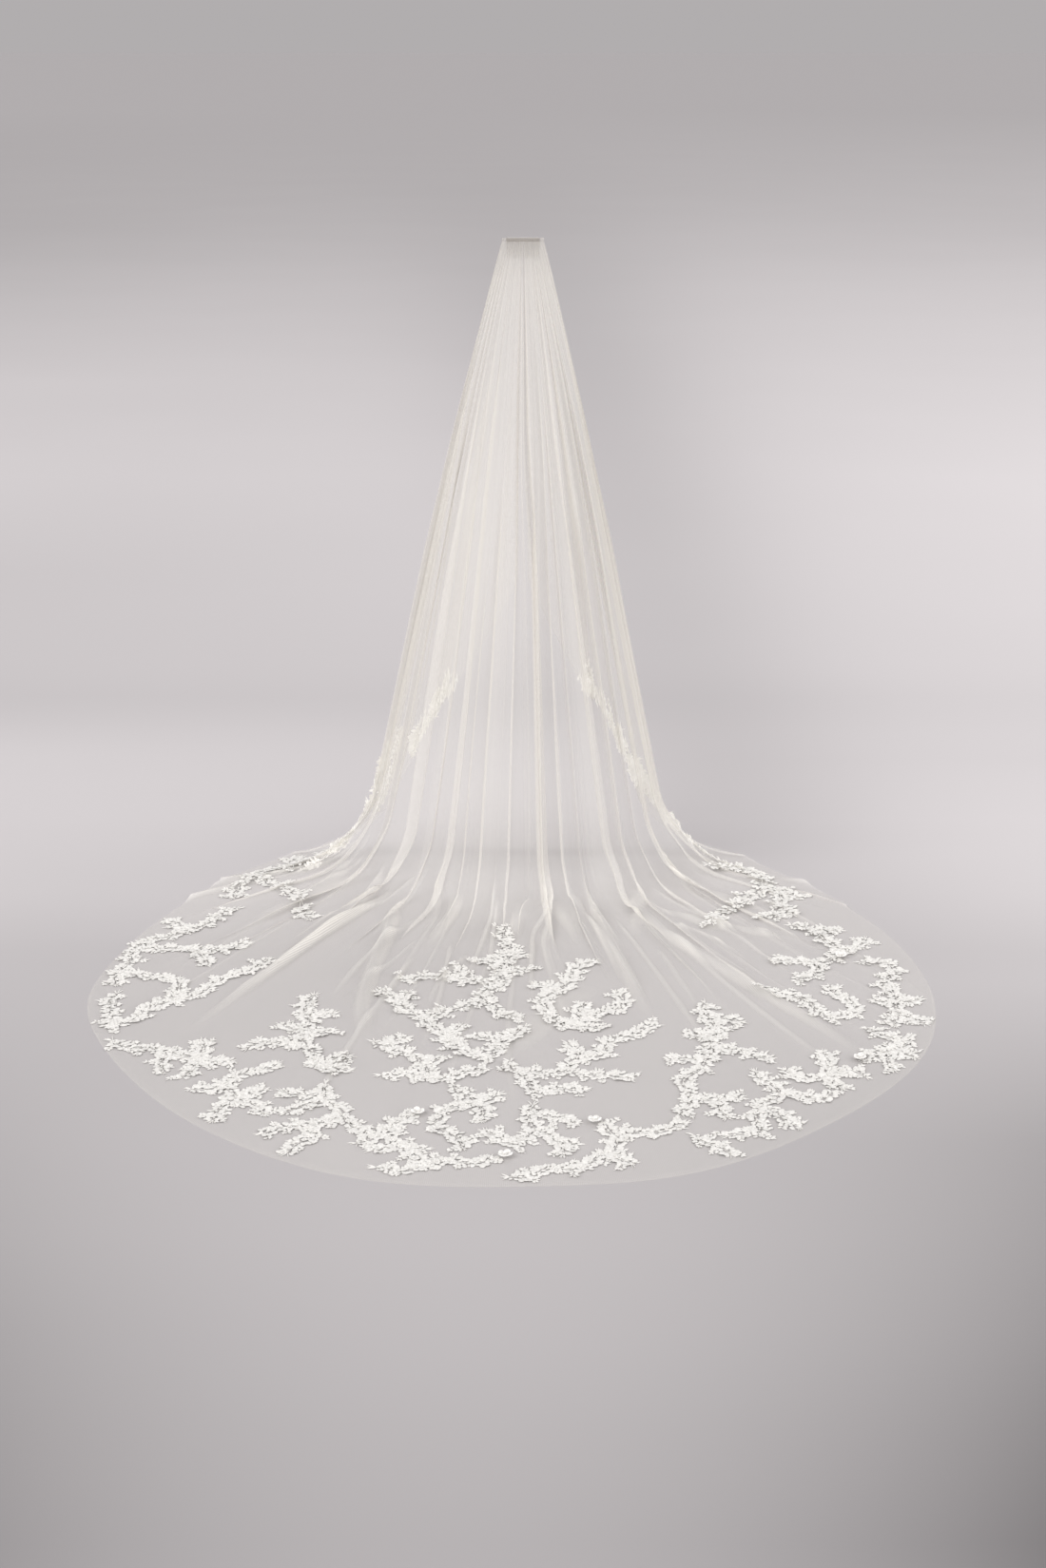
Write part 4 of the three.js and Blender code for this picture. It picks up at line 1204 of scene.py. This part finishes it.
    def solids(self):
        """Every leaf and cord: points, faces, places on it, tones, and painted light that is highest at a
        leaf's crown.
        """
        parts = []
        flats = []
        tones = []
        painted_crown_lights = []
        for form, stations in STATIONS.items():
            base, faces = leaf_form(stations)
            for x, y, angle, long, wide, rise, lift, tip_up, roll, tone in self.rows[form]:
                place, out, first, second = self.land(x, y)
                if place is None:
                    continue
                ahead = first * math.cos(angle) + second * math.sin(angle)
                left = np.cross(out, ahead)
                ahead, out = tipped(ahead, out, math.radians(tip_up))
                left, out = tipped(left, out, math.radians(roll))
                local = base * (wide, long, rise)
                spread = local[:, 1:2] * ahead - local[:, :1] * left
                points = place + spread + (local[:, 2:] + lift) * out
                parts.append((points, faces))
                flats.append(local[:, :2])
                tones.append(np.full(len(base), tone))
                # painted light: lighter towards a leaf's raised crown, and painted shade at its rim
                painted_crown_lights.append(np.clip(base[:, 2] * 1.3, self.least, 1))
        for line in self.cords:
            path = []
            for x, y in line:
                place, out, _, _ = self.land(x, y)
                if place is not None:
                    path.append(place + out * CORD_RADIUS)
            if len(path) > 2:
                points, faces = tube(path, CORD_RADIUS, 5)
                parts.append((points, faces))
                flats.append(points[:, :2])
                tones.append(np.full(len(points), 0.6))
                painted_crown_lights.append(np.full(len(points), 0.6))
        points, faces = joined(parts)
        points[:, 2] = np.maximum(points[:, 2], GROUND + FLOOR_CLEAR)
        return points, faces, np.concatenate(flats), np.concatenate(tones), np.concatenate(painted_crown_lights)


LACE_WHITE = {"low": (0.66, 0.643, 0.61), "high": (0.885, 0.87, 0.838)}
THREAD_PITCH = 0.0009
SHARP_FROM = 55  # degrees between faces
BLOSSOM_RINGS = [(19, 4.0, 26), (13, 6.0, 42)]  # radius, height over the net, degrees its petals rise


def lace_finish(name, lit):
    """Satin stitch: threads laid side by side along each leaf, a little whiter on some leaves, with painted
    shade towards each leaf's rim and a painted glow as strong as lit.
    """
    material, start, sockets = finish_called(
        name, Roughness=0.62, Sheen_Weight=0.25, Emission_Color=(1, 0.98, 0.94, 1), Emission_Strength=lit
    )
    flat = start.node("UVMap", {"uv_map": "leaf"}, {})
    across = start.node("SeparateXYZ", {}, {0: flat}, out=0)
    along = start.node("SeparateXYZ", {}, {0: flat}, out=1)
    laid = start.maths("SINE", (across * 0.8 + along * 0.6) * (2 * math.pi / THREAD_PITCH), 0.0)
    tone = start.node("Attribute", {"attribute_name": "tone"}, {}, out=2)
    place = start.node("TexCoord", {}, {}, out=3)
    uneven = start.node("TexNoise", {}, {"Vector": place, "Scale": 220.0, "Detail": 2.0})
    crown = start.node("Attribute", {"attribute_name": "crown"}, {}, out=2)
    # painted shade darkens each leaf towards its rim and painted light brightens its crown; tone and uneven
    # vary at random
    white = tone * 0.28 + crown * 0.42 + uneven * 0.3 + laid * 0.05
    blended(start, LACE_WHITE["low"], LACE_WHITE["high"], white).to(sockets["Base Color"])
    raised = laid * 0.5 + uneven
    start.node("Bump", {}, {"Height": raised, "Strength": 0.5, "Distance": 0.0004}).to(sockets["Normal"])
    return material


net_tree = BVHTree.FromPolygons(net_mm.reshape(-1, 3).tolist(), grid_faces(net_rows, net_wide).tolist())


LOOK = {"from": 400, "far": 420}  # the height from which lace looks down for the net, and how far
LEVELLED = 1.2  # how strongly lace keeps to the veil's large form against the net's small folds
HEM_SPAN = 8
MIDDLE_OF_HANG = (0, 60)


def on_floor_net(x, y):
    """The net's upper side under a plan point, in millimetres, with the way out and two ways along it."""
    above = Vector((x, y, GROUND + LOOK["from"]))
    place, out, _, _ = net_tree.ray_cast(above, Vector((0, 0, -1)), LOOK["far"])
    if place is None:
        return None, None, None, None
    out = np.array(out) * (1 if out.z > 0 else -1)
    out = unit(out + (0, 0, LEVELLED))
    first = unit(np.cross((0.0, 1.0, 0.0), out))
    return np.array(place), out, first, np.cross(out, first)


def on_hem(side):
    """A way to land on a flap by millimetres along the net's hem from the flap's corner, and up from it."""
    columns = np.arange(net_wide // 2)
    if side > 0:
        columns = net_wide - 1 - columns
    steps = np.linalg.norm(np.diff(net_mm[-1, columns], axis=0), axis=1)
    walked = np.concatenate([[0.0], np.cumsum(steps)])

    def spot(along, up):
        """The point there, between the two nearest columns of the grid."""
        at = np.interp(along, walked, np.arange(len(columns)))
        k = min(int(at), len(columns) - 2)
        ends = []
        for column in columns[k:k + 2]:
            length = net_s[-1, column] - up
            ends.append([np.interp(length, net_s[:, column], net_mm[:, column, axis]) for axis in range(3)])
        return (1 - at + k) * np.array(ends[0]) + (at - k) * np.array(ends[1])

    def land(along, up):
        place = spot(along, up)
        first = spot(along + HEM_SPAN, up) - spot(along - HEM_SPAN, up)
        second = spot(along, up + HEM_SPAN) - spot(along, up - HEM_SPAN)
        away = unit(place - (*MIDDLE_OF_HANG, place[2]))
        out = unit(np.cross(first, second))
        out = unit(out * (1 if out @ away > 0 else -1) + LEVELLED * away)
        first = unit(first - out * (first @ out))
        upward = np.cross(out, first)
        return place, out, first, upward * (1 if upward @ second > 0 else -1)

    return land


PAINTED_GLOW_THROUGH_NET = 0.2  # painted light: the flaps' lace glows this much, in place of the light that the layers of net on both sides of it pass on to it
lace_thread = lace_finish("lace_thread", 0.0)
glowing_flap_lace = lace_finish("flap_lace_painted_glow", PAINTED_GLOW_THROUGH_NET)


def sew(node, seed, land, stems, finish, least=0.0, blossoms=()):
    """One piece of lace: a branch along each leg of its stems, bowed one way and the other in turn."""
    spray = Spray(land, np.random.default_rng(seed), least)
    legs = [leg for stem in stems for leg in zip(stem, stem[1:])]
    starts = {start for start, _ in legs}
    ends = {end for _, end in legs}
    for index, (start, end) in enumerate(legs):
        bow = BRANCH_BOW if index % 2 else -BRANCH_BOW
        spray.branch(start, end, bow, start not in ends, end not in starts)
    for x, y in blossoms:
        for radius, lift, cupped in BLOSSOM_RINGS:
            spray.flower(x, y, radius, lift, cupped, 2.6)
    points, faces, flats, tones, painted_crown_lights = spray.solids()
    made = mesh_object(node.replace("lace", "sewn"), points * MM, faces, finish)
    keep_on_points(made, "tone", tones)
    keep_on_points(made, "crown", painted_crown_lights)
    keep_flat(made, "leaf", flats * MM)
    made.data.set_sharp_from_angle(angle=math.radians(SHARP_FROM))
    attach(made, "root")
    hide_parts(node)


BLOSSOMS = {
    # where the large loose flowers stand in plan
    "lace_right_back": [(545, 65)],
    "lace_right_shoulder": [(760, -320)],
    "lace_right_front": [(725, -865)],
    "lace_inner_root": [(-215, -1115)],
    "lace_hem_right": [(-35, -1295)],
    "lace_hem_middle": [(145, -1150)],
}
for seed, (node, stems) in enumerate(FLOOR_SPRAYS.items()):
    sew(node, seed, on_floor_net, stems, lace_thread, blossoms=BLOSSOMS.get(node, ()))
for seed, (node, side) in enumerate((("lace_flap_left", -1), ("lace_flap_right", 1)), start=50):
    sew(node, seed, on_hem(side), FLAP_SPRAYS[node], glowing_flap_lace, least=0.8)
